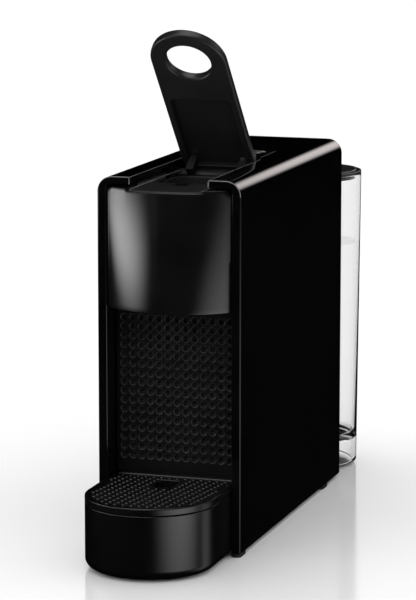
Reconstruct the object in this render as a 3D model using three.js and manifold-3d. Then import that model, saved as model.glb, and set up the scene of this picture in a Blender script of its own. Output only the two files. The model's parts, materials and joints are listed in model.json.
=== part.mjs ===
// Slim pod coffee machine: two L-shaped side covers around a brewing unit that a top lever opens and
// closes, a drip module that slides out at the front, and an oval water tank that lifts off at the back.
// Millimetres, +Z up, +Y towards the tank. The machine is drawn with y = 0 at the front edge of the side
// covers and is moved as a whole at the end, so that the origin is the middle of its footprint.

import * as THREE from "three";
import { mergeVertices } from "three/addons/utils/BufferGeometryUtils.js";
import Module from "manifold-3d";

const wasm = await Module();
wasm.setup();

// ---------------------------------------------------------------- driving dimensions

const WIDTH = 82;
const HEIGHT = 208;
const DEPTH = 205;
const GAP = 0.3;

const HALF = WIDTH / 2;
const WALL = 3;
const INNER = HALF - WALL;
const RIM = 5.3;
const RIM_DEPTH = 14;
const CORNER_RADIUS = 9;
const COVER_BOTTOM = 2;
const FLANGE_UNDER = HEIGHT - RIM;

const SLOT_HALF = 22.4;
const SLOT_BACK = 98.4;

const HEAD_TOP = 202.2;
const HEAD_BOTTOM = 136.4;
const HEAD_HALF = HALF - RIM - GAP;
const HEAD_BULGE_TOP = 11;
const HEAD_BULGE_BOTTOM = 17;
const HEAD_SHELF_BACK = 26.5;
const SHELF_NOTCH = 16;
const NOTCH_HALF = 4.5;
const SHELF_HALF = 20;
const SHELF_STEP = 0.6;
const HEAD_WALL = 2.2;
const HEAD_CORNER = 3.6;

const CHUTE_HALF = 21.5;
const CHUTE_FRONT = 37.3;
const CHUTE_BACK = 79;
const CHUTE_LOW = 190;
const CHUTE_TOP = 200;
const MOUTH_HALF = 18.2;
const MOUTH_FRONT = 38.6;
const MOUTH_BACK = 74.5;
const MOUTH_CORNER = 11;

const LEVER_OPEN = THREE.MathUtils.degToRad(48.4);
const HINGE_Y = 89.6;
const HINGE_Z = 198;
const LEVER_HALF = 21.5;
const LEVER_THICK = 5.5;
const LEVER_UNDER = HEIGHT - LEVER_THICK - HINGE_Z;
const RING_CENTRE = -88.8;
const RING_HOLE = 12.8;
const LEVER_REAR = 5.5;
const LEVER_NOSE = 10;
const RECESS_HALF = 17.5;
const RECESS_FRONT = -59;
const RECESS_BACK = -4;
const RECESS_DEEP = 3;

const BARREL_RADIUS = 4.2;
const PIN_RADIUS = 2.5;
const RUNNING = 0.3;
const CRANK = 34;
const CRANK_ARM_IN = 22.9;
const CRANK_ARM_OUT = 25.9;
const LUG_IN = 12.8;
const LUG_FRONT = -9;
const LUG_SCREW_X = 15;
const CRANK_PIN_RADIUS = 2.4;

const FRAME_IN = 30;
const FRAME_OUT = 32.5;
const FRAME_FRONT = 20;
const FRAME_BACK = 110;

const BREW_Z = 166;
const CHAMBER_MOUTH = 66.3;
const CHAMBER_BACK = 96;
const CHAMBER_RADIUS = 19;
const CHAMBER_BORE = 16;

const DECK_LOW = 134.9;
const DECK_HIGH = 137;
const BULKHEAD_Y = 112;
const BULKHEAD_THICK = 2.5;

const TRAY_HALF = 36;
const TRAY_FRONT = -66;
const TRAY_TOP = 36.4;
const TRAY_BOTTOM = 1;
const TRAY_FILLET = 5;
const TRAY_WALL = 2.4;
const TRAY_INSET_HALF = 35;
const TRAY_BACK = 13.4;
const GRID_TOP = 40.6;
const GRID_LIP = 3.9;
const FINGER_HALF = 5.7;
const GRILLE_FRONT = 14;
const GRILLE_THICK = 2.4;
const GRILLE_BOTTOM = 41.6;
const GRILLE_TOP = 134.4;

const TANK_Y = 240;
const TANK_A = 41.2;
const TANK_TOP_A = 43;
const TANK_B = 34;
const TANK_WALL = 3;
const TANK_BOTTOM = 2;
const TANK_TOP = 184.5;
const TANK_RIM = 182.4;
const TANK_FLOOR_LOW = 17;
const TANK_FLOOR_HIGH = 20;
const LID_HINGE_Y = 265;
const LID_THICK = 5;
const LID_FLANGE = 1.9;
const LID_PIN_Z = TANK_TOP - LID_THICK / 2;
const LID_PIN_RADIUS = 1.1;
const KNUCKLE_HALF = 14.7;
const KNUCKLE_ARM = 5.5;
const BRIDGE_CLEAR = 1;
const VALVE_Y = 228;
const VALVE_SEAT = TANK_FLOOR_HIGH + 0.1;

const PLATFORM_HALF = 24;
const PLATFORM_BACK = 244;
const PLATFORM_TOP = 15.5;
const BASE_LOW = 2.2;
const BASE_HIGH = 5;
const FOOT_ROWS = { front: 7, rear: 174 };
const FOOT_LENGTH = 12;

const ROUND = 32;

// ---------------------------------------------------------------- materials

function material(colour, roughness, metalness = 0, extra = {}) {
  return new THREE.MeshStandardMaterial({ color: colour, roughness, metalness, ...extra });
}

const glossBlack = material(0x060607, 0.12);
const satinBlack = material(0x0d0d0f, 0.35);
const matteBlack = material(0x111112, 0.6);
const panelBlack = material(0x18181b, 0.28);
const clearPlastic = material(0xe8edf0, 0.05, 0, { transparent: true, opacity: 0.3 });
const smokedPlastic = material(0x1b1c1e, 0.25);
const greyPlastic = material(0x54565a, 0.55);
const rubber = material(0x151515, 0.9);
const siliconeHose = material(0xd9d6cc, 0.6);
const steel = material(0xb8babd, 0.3, 1);
const castAluminium = material(0x9b9da0, 0.5, 1);
const boardGreen = material(0x1f5a38, 0.6);

// ---------------------------------------------------------------- solids

function solid(geometry) {
  const bare = geometry.clone();
  bare.deleteAttribute("normal");
  bare.deleteAttribute("uv");
  const merged = mergeVertices(bare, 1e-4);
  return new wasm.Manifold(
    new wasm.Mesh({
      numProp: 3,
      vertProperties: merged.attributes.position.array,
      triVerts: new Uint32Array(merged.index.array),
    }),
  );
}

function geometryOf(body) {
  const { vertProperties, triVerts } = body.getMesh();
  const geometry = new THREE.BufferGeometry();
  geometry.setAttribute("position", new THREE.BufferAttribute(vertProperties, 3));
  geometry.setIndex(new THREE.BufferAttribute(triVerts, 1));
  geometry.computeVertexNormals();
  return geometry;
}

function join(...geometries) {
  return geometryOf(geometries.map(solid).reduce((a, b) => a.add(b)));
}

function cut(base, ...tools) {
  return geometryOf(tools.map(solid).reduce((a, b) => a.subtract(b), solid(base)));
}

function common(a, b) {
  return geometryOf(solid(a).intersect(solid(b)));
}

function box(x0, x1, y0, y1, z0, z1) {
  const geometry = new THREE.BoxGeometry(x1 - x0, y1 - y0, z1 - z0);
  return geometry.translate((x0 + x1) / 2, (y0 + y1) / 2, (z0 + z1) / 2);
}

// A flat shape made thick along an axis. Its own x and y are X and Y along z, X and Z along y, and
// Y and Z along x.
function extrude(shape, axis, from, to, curveSegments = 12) {
  const settings = { depth: to - from, bevelEnabled: false, curveSegments };
  const geometry = new THREE.ExtrudeGeometry(shape, settings);
  const [x, y, z] = [new THREE.Vector3(1, 0, 0), new THREE.Vector3(0, 1, 0), new THREE.Vector3(0, 0, 1)];
  const frame = new THREE.Matrix4();
  if (axis === "y") frame.makeBasis(x, z, y.clone().negate()).setPosition(0, to, 0);
  if (axis === "x") frame.makeBasis(y, z, x).setPosition(from, 0, 0);
  if (axis === "z") frame.setPosition(0, 0, from);
  return geometry.applyMatrix4(frame);
}

// A round bar along an axis; a and b are its centre in the other two coordinates, in X, Y, Z order.
function rod(radius, axis, from, to, a = 0, b = 0, segments = ROUND) {
  const geometry = new THREE.CylinderGeometry(radius, radius, to - from, segments);
  const middle = (from + to) / 2;
  if (axis === "x") return geometry.rotateZ(Math.PI / 2).translate(middle, a, b);
  if (axis === "y") return geometry.translate(a, middle, b);
  return geometry.rotateX(Math.PI / 2).translate(a, b, middle);
}

function ring(outer, inner, axis, from, to, a = 0, b = 0, segments = ROUND) {
  const bar = rod(outer, axis, from, to, a, b, segments);
  return cut(bar, rod(inner, axis, from - 1, to + 1, a, b, segments));
}

function ellipse(halfX, halfY, centreY) {
  const shape = new THREE.Shape();
  shape.absellipse(0, centreY, halfX, halfY, 0, 2 * Math.PI);
  return shape;
}

function roundedRectangle(x0, x1, y0, y1, radius) {
  const shape = new THREE.Shape();
  shape.moveTo(x0 + radius, y0);
  shape.lineTo(x1 - radius, y0);
  shape.absarc(x1 - radius, y0 + radius, radius, -Math.PI / 2, 0);
  shape.lineTo(x1, y1 - radius);
  shape.absarc(x1 - radius, y1 - radius, radius, 0, Math.PI / 2);
  shape.lineTo(x0 + radius, y1);
  shape.absarc(x0 + radius, y1 - radius, radius, Math.PI / 2, Math.PI);
  shape.lineTo(x0, y0 + radius);
  shape.absarc(x0 + radius, y0 + radius, radius, Math.PI, 1.5 * Math.PI);
  return shape;
}

// A bar with round ends between two points, drawn in the Y-Z plane.
function link(y0, z0, y1, z1, radius) {
  const along = Math.atan2(z1 - z0, y1 - y0);
  const shape = new THREE.Shape();
  shape.absarc(y1, z1, radius, along - Math.PI / 2, along + Math.PI / 2);
  shape.absarc(y0, z0, radius, along + Math.PI / 2, along + 1.5 * Math.PI);
  return shape;
}

function hose(points, radius, steps) {
  const path = new THREE.CatmullRomCurve3(points.map((p) => new THREE.Vector3(...p)));
  const section = new THREE.Shape();
  section.absarc(0, 0, radius, 0, 2 * Math.PI);
  const settings = { extrudePath: path, steps, bevelEnabled: false, curveSegments: 4 };
  return new THREE.ExtrudeGeometry(section, settings);
}

function mirrored(geometry) {
  const flipped = geometry.clone().scale(-1, 1, 1);
  const index = flipped.index.array;
  for (let i = 0; i < index.length; i += 3) [index[i + 1], index[i + 2]] = [index[i + 2], index[i + 1]];
  return flipped;
}

// ---------------------------------------------------------------- the assembly

const machine = new THREE.Group();

function place(name, geometry, look, parent = machine) {
  const mesh = new THREE.Mesh(geometry, look);
  mesh.name = name;
  parent.add(mesh);
  return mesh;
}

// ---------------------------------------------------------------- side covers

// The cover's section seen from the front: a side wall and half of the top, with one rounded corner.
function coverSection(sideThick) {
  const inside = HALF - sideThick;
  const innerRadius = CORNER_RADIUS - RIM;
  const shape = new THREE.Shape();
  shape.moveTo(HALF, COVER_BOTTOM);
  shape.lineTo(HALF, HEIGHT - CORNER_RADIUS);
  shape.absarc(HALF - CORNER_RADIUS, HEIGHT - CORNER_RADIUS, CORNER_RADIUS, 0, Math.PI / 2);
  shape.lineTo(SLOT_HALF, HEIGHT);
  shape.lineTo(SLOT_HALF, FLANGE_UNDER);
  shape.lineTo(inside - innerRadius, FLANGE_UNDER);
  shape.absarc(inside - innerRadius, FLANGE_UNDER - innerRadius, innerRadius, Math.PI / 2, 0, true);
  shape.lineTo(inside, COVER_BOTTOM);
  return shape;
}

function sideCover() {
  const wall = extrude(coverSection(WALL), "y", 0, DEPTH, 6);
  const rim = extrude(coverSection(RIM), "y", 0, RIM_DEPTH - GAP, 6);
  return join(wall, rim);
}

place("right_side_cover", sideCover(), glossBlack);
place("left_side_cover", mirrored(sideCover()), glossBlack);

// ---------------------------------------------------------------- top panel and buttons

const BUTTON_IN = 1.2;
const BUTTON_OUT = 20;
const BUTTON_FRONT = 101.6;
const BUTTON_BACK = 139;
const BUTTON_CORNER = 3;
const BUTTON_GAP = 0.35;
const BUTTON_TRAVEL = 1;
const BUTTON_LOW = 203.6;
const SWITCH_HIGH = BUTTON_LOW - BUTTON_TRAVEL - 0.2;
const BOARD_HIGH = 199.6;
const BOARD_LOW = 198;

function buttonShape(grow) {
  return roundedRectangle(
    BUTTON_IN - grow,
    BUTTON_OUT + grow,
    BUTTON_FRONT - grow,
    BUTTON_BACK + grow,
    BUTTON_CORNER + grow,
  );
}

function topPanel() {
  const plate = box(-SLOT_HALF + GAP, SLOT_HALF - GAP, SLOT_BACK + GAP, DEPTH, FLANGE_UNDER + 0.2, HEIGHT);
  const opening = extrude(buttonShape(BUTTON_GAP), "z", FLANGE_UNDER - 1, HEIGHT + 1, 3);
  return cut(plate, opening, mirrored(mergeVertices(opening)));
}

function button() {
  return extrude(buttonShape(0), "z", BUTTON_LOW, HEIGHT - 0.1, 3);
}

const switchY = (BUTTON_FRONT + BUTTON_BACK) / 2;
const switchX = (BUTTON_IN + BUTTON_OUT) / 2;

place("top_panel", topPanel(), glossBlack);
place("lungo_button", button(), glossBlack);
place("espresso_button", mirrored(mergeVertices(button())), glossBlack);
place("button_board", box(-22, 22, 100, 142, BOARD_LOW, BOARD_HIGH), boardGreen);
for (const [name, side] of [["lungo_switch", 1], ["espresso_switch", -1]]) {
  const x = side * switchX;
  place(name, box(x - 3, x + 3, switchY - 3, switchY + 3, BOARD_HIGH + 0.1, SWITCH_HIGH), greyPlastic);
}

// ---------------------------------------------------------------- brewing head

// The head's outline from above: flat sides behind the rim and one shallow arc in front.
function headOutline(inset, bulge) {
  const half = HEAD_HALF - inset;
  const sag = bulge - inset;
  const radius = (half * half + sag * sag) / (2 * sag);
  const sweep = Math.asin(half / radius);
  const shape = new THREE.Shape();
  shape.moveTo(half, RIM_DEPTH - GAP + inset * 2);
  shape.lineTo(-half, RIM_DEPTH - GAP + inset * 2);
  shape.lineTo(-half, 0);
  shape.absarc(0, radius - sag, radius, -Math.PI / 2 - sweep, -Math.PI / 2 + sweep);
  return shape;
}

// The front bulges a little less at the top than at the bottom.
function leaning(geometry) {
  const at = geometry.attributes.position;
  const lean = HEAD_BULGE_TOP / HEAD_BULGE_BOTTOM;
  for (let i = 0; i < at.count; i += 1) {
    const share = (at.getZ(i) - HEAD_BOTTOM) / (HEAD_TOP - HEAD_BOTTOM);
    if (at.getY(i) < 0) at.setY(i, at.getY(i) * (1 + share * (lean - 1)));
  }
  return geometry;
}

function frontPanel() {
  const outer = leaning(extrude(headOutline(0, HEAD_BULGE_BOTTOM), "z", HEAD_BOTTOM, HEAD_TOP, 16));
  const under = HEAD_TOP - HEAD_WALL;
  const inside = extrude(headOutline(HEAD_WALL, HEAD_BULGE_BOTTOM), "z", HEAD_BOTTOM - 2, under, 16);
  const shelf = box(-33, 33, RIM_DEPTH - 1, HEAD_SHELF_BACK, under, HEAD_TOP);
  const corners = roundedRectangle(-HEAD_HALF, HEAD_HALF, HEAD_BOTTOM - 20, HEAD_TOP, HEAD_CORNER);
  const notchBack = HEAD_SHELF_BACK + 1;
  const notch = box(-NOTCH_HALF, NOTCH_HALF, SHELF_NOTCH, notchBack, under - 1, HEAD_TOP + 1);
  const sides = [-40, SHELF_HALF].map((x) => {
    return box(x, x + 40 - SHELF_HALF, -30, 60, HEAD_TOP - SHELF_STEP, HEAD_TOP + 1);
  });
  const head = common(join(cut(outer, leaning(inside)), shelf), extrude(corners, "y", -40, 60, 4));
  return cut(head, notch, ...sides);
}

function coffeeOutlet() {
  const profile = [
    [0, 0],
    [5, 0],
    [7, 5],
    [7, 14],
    [13, 24],
    [13, 27],
    [11, 27],
    [5, 14],
    [3, 2],
    [0, 2],
  ].map(([r, h]) => new THREE.Vector2(r, h));
  return new THREE.LatheGeometry(profile, 24).rotateX(Math.PI / 2).translate(0, 8, 137.3);
}

// A block with a round-cornered mouth, and a thinner apron that reaches forwards to the head's shelf.
function capsuleChute() {
  const block = box(-CHUTE_HALF, CHUTE_HALF, CHUTE_FRONT, CHUTE_BACK, CHUTE_LOW, CHUTE_TOP);
  const apronFront = HEAD_SHELF_BACK + GAP;
  const apron = box(-CHUTE_HALF, CHUTE_HALF, apronFront, CHUTE_FRONT + 1, CHUTE_TOP - 3, CHUTE_TOP);
  const mouth = roundedRectangle(-MOUTH_HALF, MOUTH_HALF, MOUTH_FRONT, MOUTH_BACK, MOUTH_CORNER);
  const opening = extrude(mouth, "z", CHUTE_LOW - 1, CHUTE_TOP + 1, 8);
  const barrelRelief = box(-30, 30, CHUTE_BACK - 2.5, CHUTE_BACK + 10, CHUTE_TOP - 4, CHUTE_TOP + 1);
  return cut(join(block, apron), opening, barrelRelief);
}

place("front_panel", frontPanel(), panelBlack);
place("coffee_outlet", coffeeOutlet(), satinBlack);
place("capsule_chute", capsuleChute(), matteBlack);

// ---------------------------------------------------------------- brewing unit

function brewFrame(side) {
  const [a, b] = side > 0 ? [FRAME_IN, FRAME_OUT] : [-FRAME_OUT, -FRAME_IN];
  const plate = box(a, b, FRAME_FRONT, FRAME_BACK, DECK_HIGH + 0.2, HEAD_TOP - HEAD_WALL - 0.2);
  const bushHole = rod(5, "x", a - 1, b + 1, HINGE_Y, HINGE_Z - 4, 24);
  const notch = box(a - 1, b + 1, HINGE_Y - 5, HINGE_Y + 5, HINGE_Z - 4, HEAD_TOP);
  return cut(plate, bushHole, notch);
}

function hingeBush(side) {
  const [a, b] = side > 0 ? [FRAME_IN - 1.5, FRAME_OUT + 1.5] : [-FRAME_OUT - 1.5, -FRAME_IN + 1.5];
  const block = box(a, b, HINGE_Y - 4.7, HINGE_Y + 4.7, HINGE_Z - 5, HINGE_Z + 3.8);
  return cut(block, rod(PIN_RADIUS + 0.1, "x", a - 1, b + 1, HINGE_Y, HINGE_Z, 24));
}

place("brew_frame_right", brewFrame(1), greyPlastic);
place("brew_frame_left", brewFrame(-1), greyPlastic);
place("hinge_bush_right", hingeBush(1), satinBlack);
place("hinge_bush_left", hingeBush(-1), satinBlack);
place("hinge_pin", rod(PIN_RADIUS, "x", -35.5, 35.5, HINGE_Y, HINGE_Z, 24), steel);

const deck = box(-INNER + GAP, INNER - GAP, 17, BULKHEAD_Y - GAP, DECK_LOW, DECK_HIGH);
place("mid_deck", cut(deck, box(-27, 27, 22, 73, DECK_LOW - 1, DECK_HIGH + 1)), greyPlastic);

const CARRIAGE_ARM_IN = 26.2;
const CARRIAGE_ARM_OUT = 29.2;
const CARRIAGE_FRONT = 26;
const PLATE_BACK = 34;
const crankAngle = LEVER_OPEN / 2;
const crankOpenY = HINGE_Y - CRANK * Math.sin(crankAngle);
const crankOpenZ = HINGE_Z - CRANK * Math.cos(crankAngle);
const crankLowZ = HINGE_Z - CRANK;

function brewCarriage() {
  const plate = box(-21, 21, CARRIAGE_FRONT, PLATE_BACK, 147, 185);
  const beam = box(-CARRIAGE_ARM_OUT, CARRIAGE_ARM_OUT, CARRIAGE_FRONT, CARRIAGE_FRONT + 4, 156, 176);
  const spout = box(-6, 6, CARRIAGE_FRONT - 7, CARRIAGE_FRONT + 1, 166, 172);
  const slotHalf = CRANK_PIN_RADIUS + RUNNING;
  const arms = [-1, 1].map((side) => {
    const from = side > 0 ? CARRIAGE_ARM_IN : -CARRIAGE_ARM_OUT;
    const to = from + CARRIAGE_ARM_OUT - CARRIAGE_ARM_IN;
    const arm = box(from, to, CARRIAGE_FRONT, 80.5, 157, 175);
    return cut(
      arm,
      box(
        from - 1,
        to + 1,
        crankOpenY - slotHalf,
        crankOpenY + slotHalf,
        crankLowZ - slotHalf,
        crankOpenZ + slotHalf,
      ),
    );
  });
  return join(plate, beam, spout, ...arms);
}

function brewChamber() {
  const cup = cut(
    rod(CHAMBER_RADIUS, "y", CHAMBER_MOUTH, CHAMBER_BACK, 0, BREW_Z),
    rod(CHAMBER_BORE, "y", CHAMBER_MOUTH - 1, CHAMBER_BACK - 5, 0, BREW_Z),
  );
  const port = rod(3.5, "y", CHAMBER_BACK - 1, CHAMBER_BACK + 6, 0, BREW_Z, 16);
  const pedestal = box(-14, 14, 74, 96, 141, 151);
  const foot = box(-FRAME_IN + 0.3, FRAME_IN - 0.3, 76, 100, DECK_HIGH + 0.2, 141.5);
  return join(cup, port, pedestal, foot);
}

place("brew_carriage", brewCarriage(), satinBlack);
place("extraction_plate", rod(17, "y", PLATE_BACK + 0.1, PLATE_BACK + 1.9, 0, BREW_Z), steel);
place("brew_chamber", brewChamber(), greyPlastic);
const sealFront = CHAMBER_MOUTH - 1.6;
const sealBack = CHAMBER_MOUTH - 0.1;
place("chamber_seal", ring(CHAMBER_RADIUS, 16.5, "y", sealFront, sealBack, 0, BREW_Z), rubber);

// ---------------------------------------------------------------- lever

// The lever is drawn closed, with its hinge at the group's origin, and the group holds it open.
const leverGroup = new THREE.Group();
leverGroup.position.set(0, HINGE_Y, HINGE_Z);
leverGroup.rotation.x = -LEVER_OPEN;
machine.add(leverGroup);

function lever() {
  const outline = new THREE.Shape();
  outline.moveTo(LEVER_HALF, LEVER_REAR);
  outline.lineTo(-LEVER_HALF, LEVER_REAR);
  outline.lineTo(-LEVER_HALF, RING_CENTRE);
  outline.absarc(0, RING_CENTRE, LEVER_HALF, Math.PI, 2 * Math.PI);
  const slab = extrude(outline, "z", LEVER_UNDER, LEVER_UNDER + LEVER_THICK, 24);
  const turningRoom = join(box(-30, 30, -120, 0, -1, 20), rod(LEVER_NOSE, "x", -30, 30, 0, 0, 48));
  const plate = common(slab, turningRoom);
  const hole = rod(RING_HOLE, "z", LEVER_UNDER - 1, LEVER_UNDER + LEVER_THICK + 1, 0, RING_CENTRE, 48);
  const deep = LEVER_UNDER + RECESS_DEEP;
  const recess = box(-RECESS_HALF, RECESS_HALF, RECESS_FRONT, RECESS_BACK, LEVER_UNDER - 1, deep);
  return cut(plate, hole, recess);
}

function leverYoke() {
  const lugOut = RECESS_HALF - GAP;
  const lugs = [-lugOut, LUG_IN].flatMap((x) => [
    box(x, x + lugOut - LUG_IN, LUG_FRONT, RECESS_BACK - 0.4, -3, LEVER_UNDER + RECESS_DEEP - 0.2),
    box(x, x + lugOut - LUG_IN, LUG_FRONT + 1, 0, -3, BARREL_RADIUS - 0.2),
  ]);
  const barrel = rod(BARREL_RADIUS, "x", -CRANK_ARM_OUT, CRANK_ARM_OUT, 0, 0, 24);
  const pinY = CRANK * Math.sin(crankAngle);
  const pinZ = -CRANK * Math.cos(crankAngle);
  const arms = [-1, 1].flatMap((side) => {
    const from = side > 0 ? CRANK_ARM_IN : -CRANK_ARM_OUT;
    const to = from + CRANK_ARM_OUT - CRANK_ARM_IN;
    const pinFrom = side > 0 ? CRANK_ARM_IN : -CARRIAGE_ARM_OUT;
    const pinTo = side > 0 ? CARRIAGE_ARM_OUT : -CRANK_ARM_IN;
    return [
      extrude(link(0, 0, pinY, pinZ, BARREL_RADIUS), "x", from, to, 8),
      rod(CRANK_PIN_RADIUS, "x", pinFrom, pinTo, pinY, pinZ, 20),
    ];
  });
  const bore = rod(PIN_RADIUS + RUNNING, "x", -40, 40, 0, 0, 24);
  return cut(join(...lugs, barrel, ...arms), bore);
}

function leverScrew(x) {
  return rod(1.4, "y", LUG_FRONT - 0.8, LUG_FRONT - 0.1, x, LEVER_UNDER + 1, 12);
}

place("lever", lever(), satinBlack, leverGroup);
place("lever_yoke", leverYoke(), matteBlack, leverGroup);
place("lever_screw_left", leverScrew(-LUG_SCREW_X), steel, leverGroup);
place("lever_screw_right", leverScrew(LUG_SCREW_X), steel, leverGroup);

// ---------------------------------------------------------------- base, feet and back

function basePlate() {
  const plate = box(-INNER + GAP, INNER - GAP, RIM_DEPTH + 0.6, DEPTH - 0.5, BASE_LOW, BASE_HIGH);
  const platform = box(-PLATFORM_HALF, PLATFORM_HALF, DEPTH - 5, PLATFORM_BACK, BASE_LOW, PLATFORM_TOP);
  const pocket = box(-PLATFORM_HALF + 2.5, PLATFORM_HALF - 2.5, DEPTH + 2, PLATFORM_BACK - 2.5, 0, 5);
  const socket = rod(7.6, "z", 7, PLATFORM_TOP + 1, 0, VALVE_Y, 24);
  const passage = rod(2.4, "y", DEPTH - 8, VALVE_Y, 0, 10, 12);
  return cut(join(plate, platform), pocket, socket, passage);
}

function backCover() {
  const outline = roundedRectangle(-INNER + GAP, INNER - GAP, BASE_HIGH + 0.2, FLANGE_UNDER - GAP, 3.6);
  const plate = extrude(outline, "y", DEPTH - 4, DEPTH - 1, 4);
  const notchHalf = PLATFORM_HALF + GAP;
  const platformNotch = box(-notchHalf, notchHalf, DEPTH - 6, DEPTH, 0, PLATFORM_TOP + GAP);
  const glandHole = rod(5.5, "y", DEPTH - 6, DEPTH, 31, 15, 20);
  return cut(plate, platformNotch, glandHole);
}

place("base_plate", basePlate(), matteBlack);
place("back_cover", backCover(), matteBlack);
place("cord_gland", ring(5.3, 3.2, "y", DEPTH - 6.5, DEPTH - 0.2, 31, 15, 20), rubber);

// A long pad under the bottom edge of a side cover, outside the drip tray's way.
function foot(y) {
  const outline = roundedRectangle(HALF - 5, HALF - 0.3, y - FOOT_LENGTH / 2, y + FOOT_LENGTH / 2, 2);
  return extrude(outline, "z", 0, COVER_BOTTOM - 0.05, 4);
}

for (const [row, y] of Object.entries(FOOT_ROWS)) {
  place(`foot_${row}_right`, foot(y), rubber);
  place(`foot_${row}_left`, mirrored(mergeVertices(foot(y))), rubber);
}

const bulkheadBack = BULKHEAD_Y + BULKHEAD_THICK;
const bulkhead = box(-INNER + GAP, INNER - GAP, BULKHEAD_Y, bulkheadBack, BASE_HIGH + 0.2, 197);
const hotPort = rod(5, "y", BULKHEAD_Y - 1, bulkheadBack + 1, 0, BREW_Z, 16);
place("rear_bulkhead", cut(bulkhead, hotPort), greyPlastic);

// ---------------------------------------------------------------- water circuit and electrics

const PUMP_X = -12;
const PUMP_Z = 30;
const PUMP_FRONT = 131;
const PUMP_BACK = 179;
const METER_Y = 188;
const METER_Z = 78;
const BLOCK_TOP = 140;

function pumpCore() {
  return join(
    rod(8, "y", PUMP_FRONT - 8, PUMP_BACK + 8, PUMP_X, PUMP_Z, 20),
    rod(3.5, "y", PUMP_FRONT - 10.5, PUMP_BACK + 12, PUMP_X, PUMP_Z, 16),
  );
}

function pumpCoil() {
  const frame = box(PUMP_X - 17, PUMP_X + 17, PUMP_FRONT, PUMP_BACK, PUMP_Z - 17, PUMP_Z + 17);
  return cut(frame, rod(8.3, "y", PUMP_FRONT - 1, PUMP_BACK + 1, PUMP_X, PUMP_Z, 20));
}

function pumpMount(y) {
  const block = box(PUMP_X - 13, PUMP_X + 13, y, y + 5, BASE_HIGH + 0.1, PUMP_Z + 13);
  return cut(block, rod(8.3, "y", y - 1, y + 6, PUMP_X, PUMP_Z, 20));
}

function thermoblock() {
  const block = box(-30, 14, 120, 168, 104, BLOCK_TOP);
  const fins = [0, 1, 2, 3].map((i) => box(-31, 15, 126 + i * 10, 130 + i * 10, 103, 118));
  return cut(block, ...fins);
}

place("pump_coil", pumpCoil(), steel);
place("pump_core", pumpCore(), siliconeHose);
place("pump_mount_front", pumpMount(PUMP_FRONT - 5.3), rubber);
place("pump_mount_rear", pumpMount(PUMP_BACK + 0.3), rubber);
place("thermoblock", thermoblock(), castAluminium);
place("thermostat", rod(8, "z", BLOCK_TOP + 0.1, BLOCK_TOP + 6, -14, 144, 20), steel);
place("flow_meter", rod(11, "x", -30, -16, METER_Y, METER_Z, 24), greyPlastic);
place("control_board", box(30, 31.6, 120, 196, 56, 166), boardGreen);
place("board_relay", box(14, 29.8, 150, 170, 70, 92), smokedPlastic);
const hosePaths = {
  inlet_hose: [
    [0, 219, 10],
    [0, 205, 10],
    [0, 197, 12],
    [2, 194, 34],
    [-8, 188, 54],
    [-23, 188, 58],
    [-23, 188, 66.6],
  ],
  suction_hose: [
    [-23, 188, 89.4],
    [-23, 190, 97],
    [-8, 196, 94],
    [6, 197, 70],
    [0, 197, 40],
    [-11, 196.5, 31],
    [-12, 191.8, 30],
  ],
  pressure_hose: [
    [-12, 119.8, 30],
    [-11.5, 117.6, 30.2],
    [-6, 117.2, 33],
    [12, 120, 42],
    [22, 128, 70],
    [24, 136, 100],
    [23, 140, 118],
    [18.5, 140, 124],
    [14.6, 140, 124],
  ],
  hot_water_hose: [
    [0, 150, 140.4],
    [0, 150, 156],
    [0, 136, 165],
    [0, 118, 166],
    [0, 102.4, 166],
  ],
};
for (const [name, points] of Object.entries(hosePaths)) place(name, hose(points, 1.8, 30), siliconeHose);

// ---------------------------------------------------------------- drip module

// The tray's outline from above: straight sides and a half-round front.
function trayOutline(inset, back) {
  const half = TRAY_HALF - inset;
  const centre = TRAY_FRONT + TRAY_HALF;
  const shape = new THREE.Shape();
  shape.moveTo(half, back);
  shape.lineTo(-half, back);
  shape.lineTo(-half, centre);
  shape.absarc(0, centre, half, Math.PI, 2 * Math.PI);
  return shape;
}

// The tray's bottom edge is rounded, so its outer body is a stack of slices that follow a quarter circle.
function trayBody(back) {
  const slices = 4;
  const level = (i) => TRAY_FILLET * (1 - Math.cos(((i / slices) * Math.PI) / 2));
  const inset = (i) => TRAY_FILLET * (1 - Math.sin(((i / slices) * Math.PI) / 2));
  const straight = TRAY_BOTTOM + TRAY_FILLET;
  const layers = [extrude(trayOutline(0, back), "z", straight, TRAY_TOP, 14)];
  for (let i = 1; i <= slices; i += 1) {
    const outline = trayOutline(inset(i), back);
    layers.push(extrude(outline, "z", TRAY_BOTTOM + level(i - 1), straight + 0.5, 14));
  }
  return join(...layers);
}

// Behind the rim the tray is narrower, so that it slides in between the two side covers.
function slideRoom() {
  const far = 90;
  return join(
    box(-far, far, TRAY_FRONT - 10, -0.5, -1, 60),
    box(-TRAY_INSET_HALF, TRAY_INSET_HALF, TRAY_FRONT - 10, far, -1, 60),
  );
}

function dripTray() {
  const body = common(trayBody(TRAY_BACK), slideRoom());
  const well = extrude(trayOutline(TRAY_WALL + 1, TRAY_BACK - TRAY_WALL), "z", 5, TRAY_TOP + 1, 14);
  const tongue = box(-33, 33, TRAY_BACK - 4, 76, BASE_HIGH + 0.4, BASE_HIGH + 2.6);
  return join(cut(body, well), tongue);
}

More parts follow.
